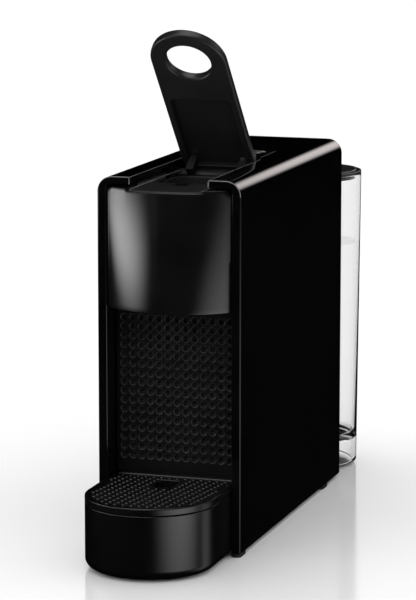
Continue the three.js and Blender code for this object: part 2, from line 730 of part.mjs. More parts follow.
function dripGrid() {
  const skirtBack = TRAY_BACK - TRAY_WALL - 0.4;
  const skirt = extrude(trayOutline(TRAY_WALL + 1.4, skirtBack), "z", GRID_TOP - 6, GRID_TOP - 3, 14);
  const lip = extrude(trayOutline(0, TRAY_BACK), "z", GRID_TOP - GRID_LIP, GRID_TOP, 14);
  const outer = common(join(lip, skirt), slideRoom());
  const inside = trayOutline(TRAY_WALL + 3, skirtBack - 1.6);
  const hollow = extrude(inside, "z", GRID_TOP - 8, GRID_TOP - 2, 14);
  const holes = [box(-FINGER_HALF, FINGER_HALF, -12, 1, GRID_TOP - 4, GRID_TOP + 1)];
  const pitch = 8;
  for (let row = 0; row < 9; row += 1) {
    for (let column = -3; column <= 3; column += 1) {
      const x = (column + (row % 2) / 2) * pitch;
      const y = TRAY_FRONT + 10 + row * pitch;
      const reach = Math.hypot(x, Math.min(0, y - TRAY_FRONT - TRAY_HALF));
      const byFinger = Math.abs(x) < 11 && y > -18;
      if (reach >= TRAY_HALF - 8 || byFinger) continue;
      holes.push(box(x - 1.6, x + 1.6, y - 2, y + 2, GRID_TOP - 4, GRID_TOP + 1));
    }
  }
  return cut(outer, hollow, ...holes);
}

function capsuleContainer() {
  const back = 74;
  const outer = box(-34, 34, GRILLE_FRONT + GRILLE_THICK + 0.2, back, BASE_HIGH + 2.8, 133);
  return cut(outer, box(-32, 32, GRILLE_FRONT + GRILLE_THICK + 2.2, back - 2, BASE_HIGH + 5, 134));
}

function grillePanel() {
  const back = GRILLE_FRONT + GRILLE_THICK;
  const plate = box(-35.2, 35.2, GRILLE_FRONT, back, GRILLE_BOTTOM, GRILLE_TOP);
  const pitch = 15.5;
  const holes = [];
  for (let row = 0; row < 5; row += 1) {
    for (let column = -1.5; column <= 1.5; column += 1) {
      holes.push(rod(5, "y", GRILLE_FRONT - 1, back - 1, column * pitch, 55 + row * pitch, 8));
    }
  }
  return cut(plate, ...holes);
}

place("drip_tray", dripTray(), panelBlack);
place("drip_grid", dripGrid(), matteBlack);
place("capsule_container", capsuleContainer(), matteBlack);
place("grille_panel", grillePanel(), satinBlack);

// ---------------------------------------------------------------- water tank

// Widens a solid sideways towards the top of the tank.
function flared(geometry) {
  const positions = geometry.attributes.position;
  for (let i = 0; i < positions.count; i += 1) {
    const share = (positions.getZ(i) - TANK_BOTTOM) / (TANK_TOP - TANK_BOTTOM);
    positions.setX(i, positions.getX(i) * (1 + share * (TANK_TOP_A / TANK_A - 1)));
  }
  return geometry;
}

function waterTank() {
  const [innerA, innerB] = [TANK_A - TANK_WALL, TANK_B - TANK_WALL];
  const shell = flared(extrude(ellipse(TANK_A, TANK_B, TANK_Y), "z", TANK_BOTTOM, TANK_RIM, 28));
  const well = flared(extrude(ellipse(innerA, innerB, TANK_Y), "z", TANK_FLOOR_HIGH, TANK_RIM + 1, 28));
  const under = flared(extrude(ellipse(innerA, innerB, TANK_Y), "z", TANK_BOTTOM - 1, TANK_FLOOR_LOW, 28));
  const notch = box(-PLATFORM_HALF - 1, PLATFORM_HALF + 1, 200, TANK_Y, 0, TANK_FLOOR_LOW - 0.5);
  const neck = rod(6, "z", 10, TANK_FLOOR_LOW + 1, 0, VALVE_Y, 24);
  const bore = rod(3.6, "z", 5, TANK_FLOOR_HIGH + 1, 0, VALVE_Y, 24);
  return cut(join(cut(shell, well, under, notch), neck), bore);
}

// A plug that fits into the tank, under a flange that lies on the tank's rim.
function lidSlab(from, to) {
  const clear = TANK_WALL + 0.7;
  const plugOutline = ellipse(TANK_TOP_A - clear, TANK_B - clear, TANK_Y);
  const plug = extrude(plugOutline, "z", TANK_TOP - LID_THICK, TANK_TOP - LID_FLANGE / 2, 28);
  const flangeOutline = ellipse(TANK_TOP_A, TANK_B, TANK_Y);
  const flange = extrude(flangeOutline, "z", TANK_TOP - LID_FLANGE, TANK_TOP, 28);
  return common(join(plug, flange), box(-TANK_TOP_A, TANK_TOP_A, from, to, 150, 200));
}

function lidPinRoom() {
  return rod(LID_PIN_RADIUS + 0.2, "x", -50, 50, LID_HINGE_Y, LID_PIN_Z, 16);
}

// The rear strip of the opening is closed by a fixed bridge. The lid's knuckle turns between its two
// ends, and the lid's rear edge swings past the corner of the bridge.
function tankBridge() {
  const roomHalf = KNUCKLE_HALF + GAP;
  const room = box(-roomHalf, roomHalf, 250, LID_HINGE_Y + LID_THICK / 2 + GAP, 150, 200);
  return cut(lidSlab(LID_HINGE_Y - KNUCKLE_ARM + BRIDGE_CLEAR, 280), room, lidPinRoom());
}

function tankLid() {
  const front = lidSlab(200, LID_HINGE_Y - KNUCKLE_ARM);
  const arm = box(-KNUCKLE_HALF, KNUCKLE_HALF, 255, LID_HINGE_Y, TANK_TOP - LID_THICK, TANK_TOP);
  const knuckle = rod(LID_THICK / 2, "x", -KNUCKLE_HALF, KNUCKLE_HALF, LID_HINGE_Y, LID_PIN_Z, 24);
  return cut(join(front, arm, knuckle), lidPinRoom());
}

function tankValve() {
  const low = TANK_FLOOR_HIGH + 1.7;
  return join(rod(5.8, "z", low, low + 2, 0, VALVE_Y, 20), rod(2, "z", 12, 23, 0, VALVE_Y, 16));
}

function valveCage() {
  return cut(
    rod(8.5, "z", VALVE_SEAT, 36, 0, VALVE_Y, 24),
    rod(6.7, "z", VALVE_SEAT - 1.1, 33, 0, VALVE_Y, 24),
    box(-3, 3, VALVE_Y - 12, VALVE_Y + 12, 23, 31),
    box(-12, 12, VALVE_Y - 3, VALVE_Y + 3, 23, 31),
  );
}

function valveSpring() {
  const turns = 4;
  const points = [];
  for (let i = 0; i <= turns * 8; i += 1) {
    const angle = (i / 8) * 2 * Math.PI;
    points.push([4.6 * Math.cos(angle), VALVE_Y + 4.6 * Math.sin(angle), 24.2 + (i / (turns * 8)) * 7.4]);
  }
  return hose(points, 0.5, turns * 10);
}

place("water_tank", waterTank(), clearPlastic);
place("tank_bridge", tankBridge(), smokedPlastic);
place("tank_lid", tankLid(), smokedPlastic);
place("lid_hinge_pin", rod(LID_PIN_RADIUS, "x", -20, 20, LID_HINGE_Y, LID_PIN_Z, 12), steel);
place("tank_valve", tankValve(), greyPlastic);
place("valve_seal", ring(5.8, 3.9, "z", VALVE_SEAT, VALVE_SEAT + 1.5, 0, VALVE_Y, 20), rubber);
place("valve_spring", valveSpring(), steel);
place("valve_cage", valveCage(), greyPlastic);
place("inlet_seal", ring(7.4, 6.2, "z", 12, 14.5, 0, VALVE_Y, 24), rubber);

// ---------------------------------------------------------------- placing

machine.position.y = -(TRAY_FRONT + TANK_Y + TANK_B) / 2;

export default machine;
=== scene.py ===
import json
import math
from functools import partial

import bmesh
import bpy
from mathutils import Matrix, Vector


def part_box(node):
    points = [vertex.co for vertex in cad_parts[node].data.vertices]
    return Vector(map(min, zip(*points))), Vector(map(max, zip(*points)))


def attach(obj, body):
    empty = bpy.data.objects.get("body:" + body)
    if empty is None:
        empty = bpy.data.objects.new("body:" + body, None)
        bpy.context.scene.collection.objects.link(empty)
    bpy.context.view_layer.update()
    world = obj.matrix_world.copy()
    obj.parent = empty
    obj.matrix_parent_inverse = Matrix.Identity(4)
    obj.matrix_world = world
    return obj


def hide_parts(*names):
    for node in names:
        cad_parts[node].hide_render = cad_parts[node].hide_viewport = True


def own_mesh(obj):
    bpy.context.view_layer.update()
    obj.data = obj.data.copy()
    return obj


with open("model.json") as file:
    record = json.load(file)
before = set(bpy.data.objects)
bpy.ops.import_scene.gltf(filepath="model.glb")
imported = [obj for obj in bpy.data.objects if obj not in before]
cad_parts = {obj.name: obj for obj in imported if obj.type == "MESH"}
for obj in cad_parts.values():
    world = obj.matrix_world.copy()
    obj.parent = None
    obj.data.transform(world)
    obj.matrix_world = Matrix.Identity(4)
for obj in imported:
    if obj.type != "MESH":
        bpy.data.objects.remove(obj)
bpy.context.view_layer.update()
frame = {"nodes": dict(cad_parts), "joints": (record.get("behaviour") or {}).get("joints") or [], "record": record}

# ------------------------------------------------------------------ driving dimensions, in metres

MM = 0.001

SUPPORT = 0.04 * MM          # distance of the loops that keep flat faces flat beside a rounding
EDGE_STEPS = 4

CAMERA_AT = (503.3 * MM, -1594.1 * MM, 415.3 * MM)
CAMERA_PAN = 17.882
CAMERA_TILT = 9.874
CAMERA_LENS = 176.17

WHITE_STUDIO = 1.25
DARK_STUDIO = 0.0015
# azimuth, elevation, half width, half height, softness, strength, all but the last in degrees
GLOWS = [
    (0, 90, 360, 12, 20, 1.8),
    (-20, 45, 30, 8, 14, 2.2),
    (118, 0, 8, 25, 20, 0.7),
]

SHELL_EDGE = 0.8 * MM
SHELL_CORNER = 8.5 * MM
SHELL_WALL = 3 * MM
SHELL_ROUND = 0.9 * MM
SLOT_ROUND = 1.2 * MM               # the slot's upper corner in front of the top strip
SLOT_SHARP = 0.2 * MM               # and beside it
RIM_WIDTH = 5.3 * MM
RIM_TOP_WIDTH = 4.1 * MM
RIM_DEPTH = 13.7 * MM
RIM_INNER_CORNER = 3.3 * MM

LINE_RADIUS = 0.2 * MM              # of the painted highlight lines on the shell's edges
SLOT_LINE_RADIUS = 0.14 * MM
LID_LINE_RADIUS = 0.16 * MM
LINE_SUNK = 0.16 * MM

COVER_CORNER = 3 * MM
COVER_NOTCH_HALF = 24.3 * MM        # the back cover's notch over the platform
COVER_NOTCH_ROUND = 0.5 * MM
COVER_NOTCH_GAP = 0.3 * MM
GLAND_HOLE = 5.5 * MM
VENT_COUNT = 11
VENT_PITCH = 4.6 * MM
VENT_HALF = 1.1 * MM
VENT_FROM = 14 * MM                 # below the cover's top
VENT_TO = 5 * MM
VENT_DEEP = 1.8 * MM
BACK_SCREW_X = 33 * MM
BACK_SCREW_UP = 24 * MM             # from the cover's bottom
BACK_SCREW_DOWN = 10 * MM           # from its top
BACK_SCREW_RADIUS = 2.7 * MM
BACK_SCREW_SINK = 3.2 * MM
BACK_SCREW_SOCKET = 1.2 * MM

KEY_GAP = 0.35 * MM
KEY_CORNER = 3 * MM
ICON_SETBACK = 9 * MM
ICON_PITCH = 17 * MM
ICON_LINE = 0.6 * MM
ICON_THICK = 0.05 * MM
ICON_ASIDE = 0.5 * MM               # towards the middle from the key's centre line

HEAD_BULGE = 17 * MM
HEAD_BULGE_AT_TOP = 11 * MM
HEAD_WALL = 2.2 * MM
HEAD_CORNER = 3.6 * MM
HEAD_EDGE = 0.5 * MM
SHELF_HALF = 20 * MM
SHELF_STEP = 0.6 * MM
SHELF_SETBACK = 0.35 * MM
HEAD_SHOULDER = 1.3 * MM            # how far the head's top rises beside the closed lever
SHOULDER_FROM = 21.9 * MM
SHOULDER_TO = 22.6 * MM
SHELF_NOTCH_HALF = 4.5 * MM
SHELF_NOTCH_FROM = 16 * MM          # behind the front of the covers

MOUTH_HALF = 18.2 * MM
MOUTH_CORNER = 11 * MM
MOUTH_FROM = 38.6 * MM              # behind the front of the covers
MOUTH_TO = 74.5 * MM

LEVER_UNDER = 4.5 * MM
LEVER_THICK = 5.5 * MM
LEVER_HALF = 21.5 * MM
LEVER_REAR = 5.5 * MM
RING_CENTRE = -88.8 * MM
RING_HOLE = 12.8 * MM
LEVER_EDGE = 1.5 * MM
RECESS_HALF = 17.5 * MM
RECESS_FRONT = -59 * MM
RECESS_BACK = -4 * MM
RECESS_DEEP = 3 * MM

GRILLE_PITCH_X = 5.13 * MM
GRILLE_PITCH_Z = 5.17 * MM
GRILLE_COLUMNS = 13
GRILLE_ROWS = 16
GRILLE_HOLE = 1.9 * MM
GRILLE_FIRST_ROW = 128.2 * MM
GRILLE_DEEP = 2.1 * MM
GRILLE_ROLL = 0.24 * MM
GRILLE_SIDES = 20                   # of each round hole

TRAY_HALF = 36 * MM
TRAY_INSET_HALF = 35 * MM
TRAY_WALL = 2.4 * MM
TRAY_FILLET = 5 * MM
TRAY_STEP_AT = -0.5 * MM            # from the front of the covers, where the tray narrows
TRAY_STEP = 0.3 * MM
TRAY_FLOOR = 5 * MM

FINGER_HALF = 5.7 * MM
FINGER_FRONT = -12 * MM
FINGER_BACK = 1 * MM
GRID_LIP = 1.6 * MM
GRID_SUNK = 0.6 * MM
GRID_THICK = 3.9 * MM
RIDGE_PITCH_X = 4.6 * MM
RIDGE_PITCH_Y = 4.4 * MM
RIDGE_DRIFT = 0.125                 # of the pitch, sideways from row to row
RIDGE_HALF_LONG = 1.5 * MM
RIDGE_HALF_WIDE = 0.95 * MM
RIDGE_TALL = 0.75 * MM
RIDGE_SLANT = math.radians(-35)
RIDGE_CLEAR = 1.6 * MM              # round the finger slot

TANK_WALL = 2.8 * MM
TANK_FOOT_HALF = 41.2 * MM
TANK_RIM = 182.4 * MM
TANK_FLOOR_LOW = 17 * MM
TANK_FLOOR_HIGH = 20 * MM
TANK_NOTCH_HALF = 25 * MM           # the opening for the platform in the tank's skirt
WATER_LEVEL = 140 * MM
WATER_OVERLAP = 0.1 * MM            # into the tank's wall, so no air shows between them
LID_PLUG = 3.7 * MM                 # the lid's plug is this much smaller than the tank all round
LID_DISC = 3.4 * MM                 # and its raised disc this much
LID_FLANGE = 1.9 * MM
LID_BEFORE_HINGE = 5.5 * MM
LID_ARM_HALF = 14.7 * MM
KNUCKLE_RADIUS = 2.45 * MM
KNUCKLE_BORE = 1.3 * MM
SPRING_WIRE = 0.5 * MM              # radius
SPRING_TURNS = 4
SPRING_STEPS = 20                   # in each turn

machine_box = [Vector(corner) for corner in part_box("right_side_cover")]
HALF = machine_box[1].x
FRONT = machine_box[0].y
BACK = machine_box[1].y
TOP = machine_box[1].z
COVER_BOTTOM = machine_box[0].z
SLOT_HALF = machine_box[0].x


# ------------------------------------------------------------------ node materials

def new_material(name):
    look = bpy.data.materials.new(name)
    look.use_nodes = True
    return look, look.node_tree, look.node_tree.nodes["Principled BSDF"]


def connect(tree, node, **inputs):
    """Sets inputs, named with _ for a space, to a constant or to another node's output."""
    for name, value in inputs.items():
        socket = node.inputs[name.replace("_", " ")]
        if isinstance(value, bpy.types.NodeSocket):
            tree.links.new(value, socket)
        else:
            socket.default_value = value
    return node


def add_node(tree, kind, **inputs):
    return connect(tree, tree.nodes.new("ShaderNode" + kind), **inputs)


def noise(tree, scale, detail, stretch=(1, 1, 1)):
    where = add_node(tree, "TexCoord").outputs["Object"]
    place = add_node(tree, "Mapping", Vector=where, Scale=stretch).outputs["Vector"]
    return add_node(tree, "TexNoise", Vector=place, Scale=scale, Detail=detail).outputs["Fac"]


def between(tree, value, low, high):
    spread = add_node(tree, "MapRange", Value=value, From_Min=0.3, From_Max=0.7, To_Min=low, To_Max=high)
    return spread.outputs["Result"]


def colour_between(tree, value, dark, light):
    ramp = add_node(tree, "ValToRGB", Fac=value)
    for element, position, colour in zip(ramp.color_ramp.elements, (0.35, 0.65), (dark, light)):
        element.position = position
        element.color = (*colour, 1)
    return ramp.outputs["Color"]


def bump(tree, value, distance, strength, shader):
    raised = add_node(tree, "Bump", Height=value, Distance=distance, Strength=strength)
    connect(tree, shader, Normal=raised.outputs["Normal"])


def surface(tree, shader, pattern, dark, light, rough):
    """Colour and roughness that vary with a pattern."""
    connect(tree, shader, Base_Color=colour_between(tree, pattern, dark, light),
            Roughness=between(tree, pattern, *rough))


def polished_plastic(name, dark, light, rough, specular=0.5):
    """Polished moulding: faint handling smudges in the gloss and a very shallow orange peel."""
    look, tree, shader = new_material(name)
    surface(tree, shader, noise(tree, 45, 5), dark, light, rough)
    connect(tree, shader, Specular_IOR_Level=specular, IOR=1.49)
    bump(tree, noise(tree, 260, 2), 0.02 * MM, 0.03, shader)
    return look


def textured_plastic(name, dark, light, rough, grain=1500, depth=0.03, specular=0.5):
    """Moulded plastic with a spark-eroded grain."""
    look, tree, shader = new_material(name)
    surface(tree, shader, noise(tree, 60, 4), dark, light, rough)
    connect(tree, shader, Specular_IOR_Level=specular)
    bump(tree, noise(tree, grain, 3), depth * MM, 0.6, shader)
    return look


def brushed_metal(name, dark, light, rough, stretch=(1, 30, 30)):
    look, tree, shader = new_material(name)
    lines = noise(tree, 120, 5, stretch)
    surface(tree, shader, lines, dark, light, rough)
    connect(tree, shader, Metallic=1)
    bump(tree, lines, 0.01 * MM, 0.3, shader)
    return look


def clear_plastic(name, tint, ior, rough, absorbed=0):
    """Clear moulding with a faint flow pattern in its gloss. Its body absorbs light, so much per metre."""
    look, tree, shader = new_material(name)
    flow = noise(tree, 18, 3, (1, 1, 0.3))
    connect(tree, shader, Base_Color=(*tint, 1), Roughness=between(tree, flow, *rough),
            Transmission_Weight=1, IOR=ior)
    bump(tree, flow, 0.02 * MM, 0.05, shader)
    if absorbed:
        body = add_node(tree, "VolumeAbsorption", Color=(0, 0, 0, 1), Density=absorbed)
        connect(tree, tree.nodes["Material Output"], Volume=body.outputs["Volume"])
    return look


def grey(level):
    return (level, level, level)


def printed_ink(name, colour):
    look, tree, shader = new_material(name)
    lighter = tuple(min(1, c * 1.15) for c in colour)
    surface(tree, shader, noise(tree, 900, 2), colour, lighter, (0.35, 0.55))
    return look


looks = {
    "shell_black": polished_plastic("shell_black", grey(0.0012), grey(0.0022), (0.07, 0.12), 0.28),
    "button_black": polished_plastic("button_black", grey(0.002), grey(0.003), (0.08, 0.14), 0.28),
    "head_black": polished_plastic("head_black", grey(0.003), grey(0.0045), (0.14, 0.16)),
    "lever_black": textured_plastic("lever_black", grey(0.012), grey(0.014), (0.27, 0.3), 2200, 0.006),
    "tray_black": textured_plastic("tray_black", grey(0.0016), grey(0.0022), (0.25, 0.27), 2200, 0.005),
    "grid_black": textured_plastic("grid_black", grey(0.0018), grey(0.003), (0.26, 0.32), 2400, 0.01),
    "grille_black": textured_plastic("grille_black", grey(0.0025), grey(0.004), (0.28, 0.34), 2000, 0.008),
    "matte_black": textured_plastic("matte_black", grey(0.008), grey(0.014), (0.5, 0.65)),
    "tank_clear": clear_plastic("tank_clear", grey(0.985), 1.14, (0.01, 0.03), 20),
    "lid_smoke": textured_plastic("lid_smoke", grey(0.012), grey(0.018), (0.28, 0.36), 2200, 0.008),
    "grey_plastic": textured_plastic("grey_plastic", (0.11, 0.11, 0.115), (0.14, 0.14, 0.145), (0.45, 0.6)),
    "rubber_black": textured_plastic("rubber_black", grey(0.012), grey(0.02), (0.75, 0.9), 1200, 0.04, 0.2),
    "silicone": textured_plastic("silicone", (0.5, 0.48, 0.43), (0.6, 0.58, 0.53), (0.4, 0.5), 700, 0.01),
    "steel": brushed_metal("steel", (0.5, 0.5, 0.51), (0.66, 0.66, 0.67), (0.22, 0.36)),
    "cast_alloy": brushed_metal("cast_alloy", (0.42, 0.43, 0.44), (0.56, 0.57, 0.58), (0.45, 0.65),
                                (1, 1, 1)),
    "board_green": textured_plastic("board_green", (0.02, 0.11, 0.05), (0.03, 0.15, 0.07), (0.3, 0.45),
                                    500, 0.02),
}
water_look = clear_plastic("water", (0.985, 0.987, 0.99), 1.05, (0.0, 0.01))
# painted highlight: light grey plastic for the thin bars laid along edges where highlights show
highlight_line_look = textured_plastic("painted_highlight_bar", grey(0.16), grey(0.22), (0.2, 0.25), 2200, 0.003)
shelf_look = textured_plastic("shelf_satin", grey(0.013), grey(0.017), (0.36, 0.4), 2200, 0.006)
# painted highlight: a lighter copy of the grille's plastic for the hole rims
rim_highlight_look = textured_plastic("grille_rim_highlight", grey(0.035), grey(0.05), (0.22, 0.28), 2200, 0.003)
icon_look = printed_ink("icon_ink", (0.42, 0.44, 0.4))
# painted shade: a slightly darker, rougher copy of the grille's plastic for the hole walls and floors
hole_shade_look = textured_plastic("painted_hole_shade", grey(0.002), grey(0.004), (0.6, 0.8))

for item in frame["record"]["subparts"]:
    node = frame["nodes"][item["node"]]
    node.data.materials.clear()
    node.data.materials.append(looks[item["material_slot"]])


# ------------------------------------------------------------------ outlines

def rounded(corners, steps=6):
    """A closed outline from (a, b, radius) corners, anticlockwise, with a support point beside each round."""
    points = []
    for i, (a, b, radius) in enumerate(corners):
        here = Vector((a, b))
        before = Vector(corners[i - 1][:2]) - here
        after = Vector(corners[(i + 1) % len(corners)][:2]) - here
        if radius == 0:
            points.append(here)
            continue
        before.normalize()
        after.normalize()
        half_angle = before.angle(after) / 2
        reach = radius / math.tan(half_angle)
        centre = here + (before + after).normalized() * radius / math.sin(half_angle)
        start = here + before * reach - centre
        turn = math.pi - 2 * half_angle
        if before.x * after.y - before.y * after.x > 0:
            turn = -turn
        points.append(centre + start + before * SUPPORT)
        for k in range(steps + 1):
            points.append(centre + Matrix.Rotation(turn * k / steps, 2) @ start)
        points.append(here + after * (reach + SUPPORT))
    return points


def ellipse(half_a, half_b, centre, count):
    angles = [2 * math.pi * i / count for i in range(count)]
    return [Vector((centre[0] + half_a * math.cos(t), centre[1] + half_b * math.sin(t))) for t in angles]


def circle(radius, centre, count):
    return ellipse(radius, radius, centre, count)


def turns(first, last, steps):
    """Evenly spaced values from first to last, both included."""
    return [first + (last - first) * k / steps for k in range(steps + 1)]


def tongue(half, back, front):
    """Straight sides with a half-round end towards -b, anticlockwise."""
    centre = front + half
    arc = [Vector((half * math.cos(t), centre + half * math.sin(t))) for t in turns(math.pi, 2 * math.pi, 40)]
    return [Vector((half, back)), Vector((-half, back)), *arc]


def inset(loop, distance):
    """The loop moved sideways: an anticlockwise one shrinks, a clockwise one (a hole) grows."""
    moved = []
    for i, point in enumerate(loop):
        along = (point - loop[i - 1]).normalized()
        onwards = (loop[(i + 1) % len(loop)] - point).normalized()
        first = Vector((-along.y, along.x))
        second = Vector((-onwards.y, onwards.x))
        moved.append(point + (first + second) * distance / max(0.2, 1 + first.dot(second)))
    return moved


def edge_profile(edge, steps=EDGE_STEPS):
    """(depth from the face, inset) pairs from a face's border round the edge to the wall."""
    if edge == 0:
        return [(0, SUPPORT), (0, 0)]
    pairs = [(0, edge + SUPPORT)]
    for turn in turns(0, math.pi / 2, steps):
        pairs.append((edge - edge * math.cos(turn), edge - edge * math.sin(turn)))
    pairs.append((edge + SUPPORT, 0))
    return pairs


# ------------------------------------------------------------------ mesh building

def flat(a, b, t):
    return Vector((a, b, t))


def upright(a, b, t):
    return Vector((a, t, b))


def sideways(a, b, t):
    return Vector((t, a, b))


def add_ring(mesh, loop, t, place):
    return [mesh.verts.new(place(point.x, point.y, t)) for point in loop]


def join_rings(mesh, first, second):
    for i in range(len(first)):
        j = (i + 1) % len(first)
        mesh.faces.new((first[i], first[j], second[j], second[i]))


def cap(mesh, rings):
    """A flat face bordered by the first ring, with the others as holes in it."""
    edges = []
    for ring in rings:
        for i in range(len(ring)):
            pair = (ring[i], ring[(i + 1) % len(ring)])
            edges.append(mesh.edges.get(pair) or mesh.edges.new(pair))
    bmesh.ops.triangle_fill(mesh, edges=edges, use_beauty=True)


def skin(mesh, rings):
    for first, second in zip(rings, rings[1:]):
        join_rings(mesh, first, second)


def closed_skin(mesh, rings):
    skin(mesh, rings)
    cap(mesh, [rings[0]])
    cap(mesh, [rings[-1]])


def finished(name, mesh, body, slot, look=None, sharp=40):
    """The mesh as a piece: normals out, smooth within the sharp angle, riding on its body."""
    bmesh.ops.remove_doubles(mesh, verts=mesh.verts, dist=1e-7)
    bmesh.ops.recalc_face_normals(mesh, faces=mesh.faces)
    data = bpy.data.meshes.new(name)
    mesh.to_mesh(data)
    mesh.free()
    data.polygons.foreach_set("use_smooth", [True] * len(data.polygons))
    data.set_sharp_from_angle(angle=math.radians(sharp))
    data.materials.append(look or looks[slot])
    piece = bpy.data.objects.new(name, data)
    bpy.context.scene.collection.objects.link(piece)
    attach(piece, body)
    return piece


def add_plate(mesh, loops, low, high, place=flat, edge=(0, 0), pockets=()):
    """Loops (the outline anticlockwise, holes clockwise) made thick from low to high, with rounded edges.

    A pocket is (loop, depth, edge): a blind recess in the low face.
    """
    low_rings = []
    high_rings = []
    for loop in loops:
        path = [(low + t, d) for t, d in edge_profile(edge[0])]
        path += [(high - t, d) for t, d in reversed(edge_profile(edge[1]))]
        rings = [add_ring(mesh, inset(loop, d), t, place) for t, d in path]
        skin(mesh, rings)
        low_rings.append(rings[0])
        high_rings.append(rings[-1])
    for loop, depth, pocket_edge in pockets:
        path = [(low + t, d) for t, d in edge_profile(pocket_edge)]
        rings = [add_ring(mesh, inset(loop, d), t, place) for t, d in path]
        rings.append(add_ring(mesh, loop, low + depth, place))
        rings.append(add_ring(mesh, inset(loop, -SUPPORT), low + depth, place))
        skin(mesh, rings)
        low_rings.append(rings[0])
        cap(mesh, [rings[-1]])
    cap(mesh, low_rings)
    cap(mesh, high_rings)


def plate(name, body, slot, loops, low, high, place=flat, edge=(0, 0), pockets=(), look=None, sharp=40):
    mesh = bmesh.new()
    add_plate(mesh, loops, low, high, place, edge, pockets)
    return finished(name, mesh, body, slot, look, sharp)


def lathe(name, body, slot, profile, centre):
    """A closed profile of (radius, height) points turned about an upright axis."""
    mesh = bmesh.new()
    rings = []
    for radius, height in profile:
        rings.append(add_ring(mesh, circle(max(radius, 1e-6), centre, 48), height, flat))
    closed_skin(mesh, rings)
    return finished(name, mesh, body, slot)


def rectangle(x0, x1, y0, y1, radius, steps=6):
    return rounded([(x1, y0, radius), (x1, y1, radius), (x0, y1, radius), (x0, y0, radius)], steps)


def hole(loop):
    return list(reversed(loop))


def replace(piece, *nodes):
    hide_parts(*nodes)
    return piece


def soften(node, width=0.35 * MM):
    """Rounds the sharp edges of a CAD part that shows as it is."""
    bevel = frame["nodes"][node].modifiers.new("bevel", "BEVEL")
    bevel.width = width
    bevel.segments = 2
    bevel.limit_method = "ANGLE"
    bevel.angle_limit = math.radians(40)
    bevel.harden_normals = True


# ------------------------------------------------------------------ camera, light and floor

def add_camera():
    data = bpy.data.cameras.new("camera")
    data.lens = CAMERA_LENS
    data.sensor_width = 36
    data.clip_end = 50
    camera = bpy.data.objects.new("camera", data)
    camera.location = CAMERA_AT
    camera.rotation_euler = (math.radians(90 - CAMERA_TILT), 0, math.radians(CAMERA_PAN))
    bpy.context.scene.collection.objects.link(camera)
    bpy.context.scene.camera = camera


def operate(tree, kind, *values):
    """One Math node. A value is a number or another node's output."""
    node = tree.nodes.new("ShaderNodeMath")
    node.operation = kind
    for socket, value in zip(node.inputs, values):
        if isinstance(value, (int, float)):
            socket.default_value = value
        else:
            tree.links.new(value, socket)
    return node.outputs[0]


def window(tree, value, centre, half, soft):
    """1 within half of centre, falling smoothly to 0 over the distance soft."""
    away = operate(tree, "ABSOLUTE", operate(tree, "SUBTRACT", value, centre))
    edge = add_node(tree, "MapRange", Value=away, From_Min=half + soft, From_Max=half)
    edge.interpolation_type = "SMOOTHSTEP"
    return edge.outputs["Result"]


def studio_world():
    """White all round for diffuse light and what shows through the tank. What gloss mirrors is a dark studio
    with the soft GLOWS. Azimuth 0 is in front of the machine and +90 on its right."""
    world = bpy.data.worlds.new("studio")
    bpy.context.scene.world = world
    world.use_nodes = True
    world.cycles.sampling_method = "NONE"
    tree = world.node_tree
    calc = partial(operate, tree)
    x, y, z = add_node(tree, "SeparateXYZ", Vector=add_node(tree, "TexCoord").outputs["Generated"]).outputs
    degree = math.pi / 180
    azimuth = calc("DIVIDE", calc("ARCTAN2", x, calc("MULTIPLY", y, -1)), degree)
    elevation = calc("DIVIDE", calc("ARCSINE", z), degree)
    total = DARK_STUDIO
    for at, up, half_wide, half_high, soft, strength in GLOWS:
        wide = window(tree, azimuth, at, half_wide, soft)
        high = window(tree, elevation, up, half_high, soft)
        total = calc("ADD", calc("MULTIPLY", calc("MULTIPLY", wide, high), strength), total)
    glossy = add_node(tree, "LightPath").outputs["Is Glossy Ray"]
    white = calc("MULTIPLY", calc("SUBTRACT", 1, glossy), WHITE_STUDIO)
    mirrored = calc("MULTIPLY", glossy, total)
    connect(tree, tree.nodes["Background"], Color=(1, 1, 1, 1), Strength=calc("ADD", white, mirrored))


def stage_plane(name, half_x, half_y, look, place=None):
    mesh = bmesh.new()
    corners = ((-half_x, -half_y), (half_x, -half_y), (half_x, half_y), (-half_x, half_y))
    mesh.faces.new([mesh.verts.new((x, y, 0)) for x, y in corners])
    data = bpy.data.meshes.new(name)
    mesh.to_mesh(data)
    mesh.free()
    data.materials.append(look)
    plane = bpy.data.objects.new(name, data)
    if place:
        plane.matrix_world = place
    bpy.context.scene.collection.objects.link(plane)
    return plane


def glow_look(name, half_x, half_y, soft, strength, colour=(1, 1, 1)):
    """An emission that fades out softly from the panel's middle, in an oval."""
    look = bpy.data.materials.new(name)
    look.use_nodes = True
    tree = look.node_tree
    tree.nodes.clear()
    calc = partial(operate, tree)
    x, y, _ = add_node(tree, "SeparateXYZ", Vector=add_node(tree, "TexCoord").outputs["Object"]).outputs
    across = calc("POWER", calc("DIVIDE", x, half_x), 2)
    upwards = calc("POWER", calc("DIVIDE", y, half_y), 2)
    glow = window(tree, calc("SQRT", calc("ADD", across, upwards)), 0, 1 - soft, soft)
    emission = add_node(tree, "Emission", Color=(*colour, 1), Strength=calc("MULTIPLY", glow, strength))
    add_node(tree, "OutputMaterial", Surface=emission.outputs["Emission"])
    return look


def show_in_gloss_only(panel):
    panel.visible_camera = False
    panel.visible_diffuse = False
    panel.visible_transmission = False
    panel.visible_shadow = False


def softbox(name, at, target, half_x, half_y, strength, soft, colour=(1, 1, 1), spin=0):
    """A glowing panel near the machine that shows in its gloss, but not in the floor's."""
    aim = (Vector(target) - Vector(at)).to_track_quat("Z", "Y").to_matrix().to_4x4()
    place = Matrix.Translation(Vector(at)) @ aim @ Matrix.Rotation(math.radians(spin), 4, "Z")
    panel = stage_plane(name, half_x, half_y, glow_look(name, half_x, half_y, soft, strength, colour), place)
    show_in_gloss_only(panel)
    link_light(panel, "all_but_floor", "EXCLUDE")


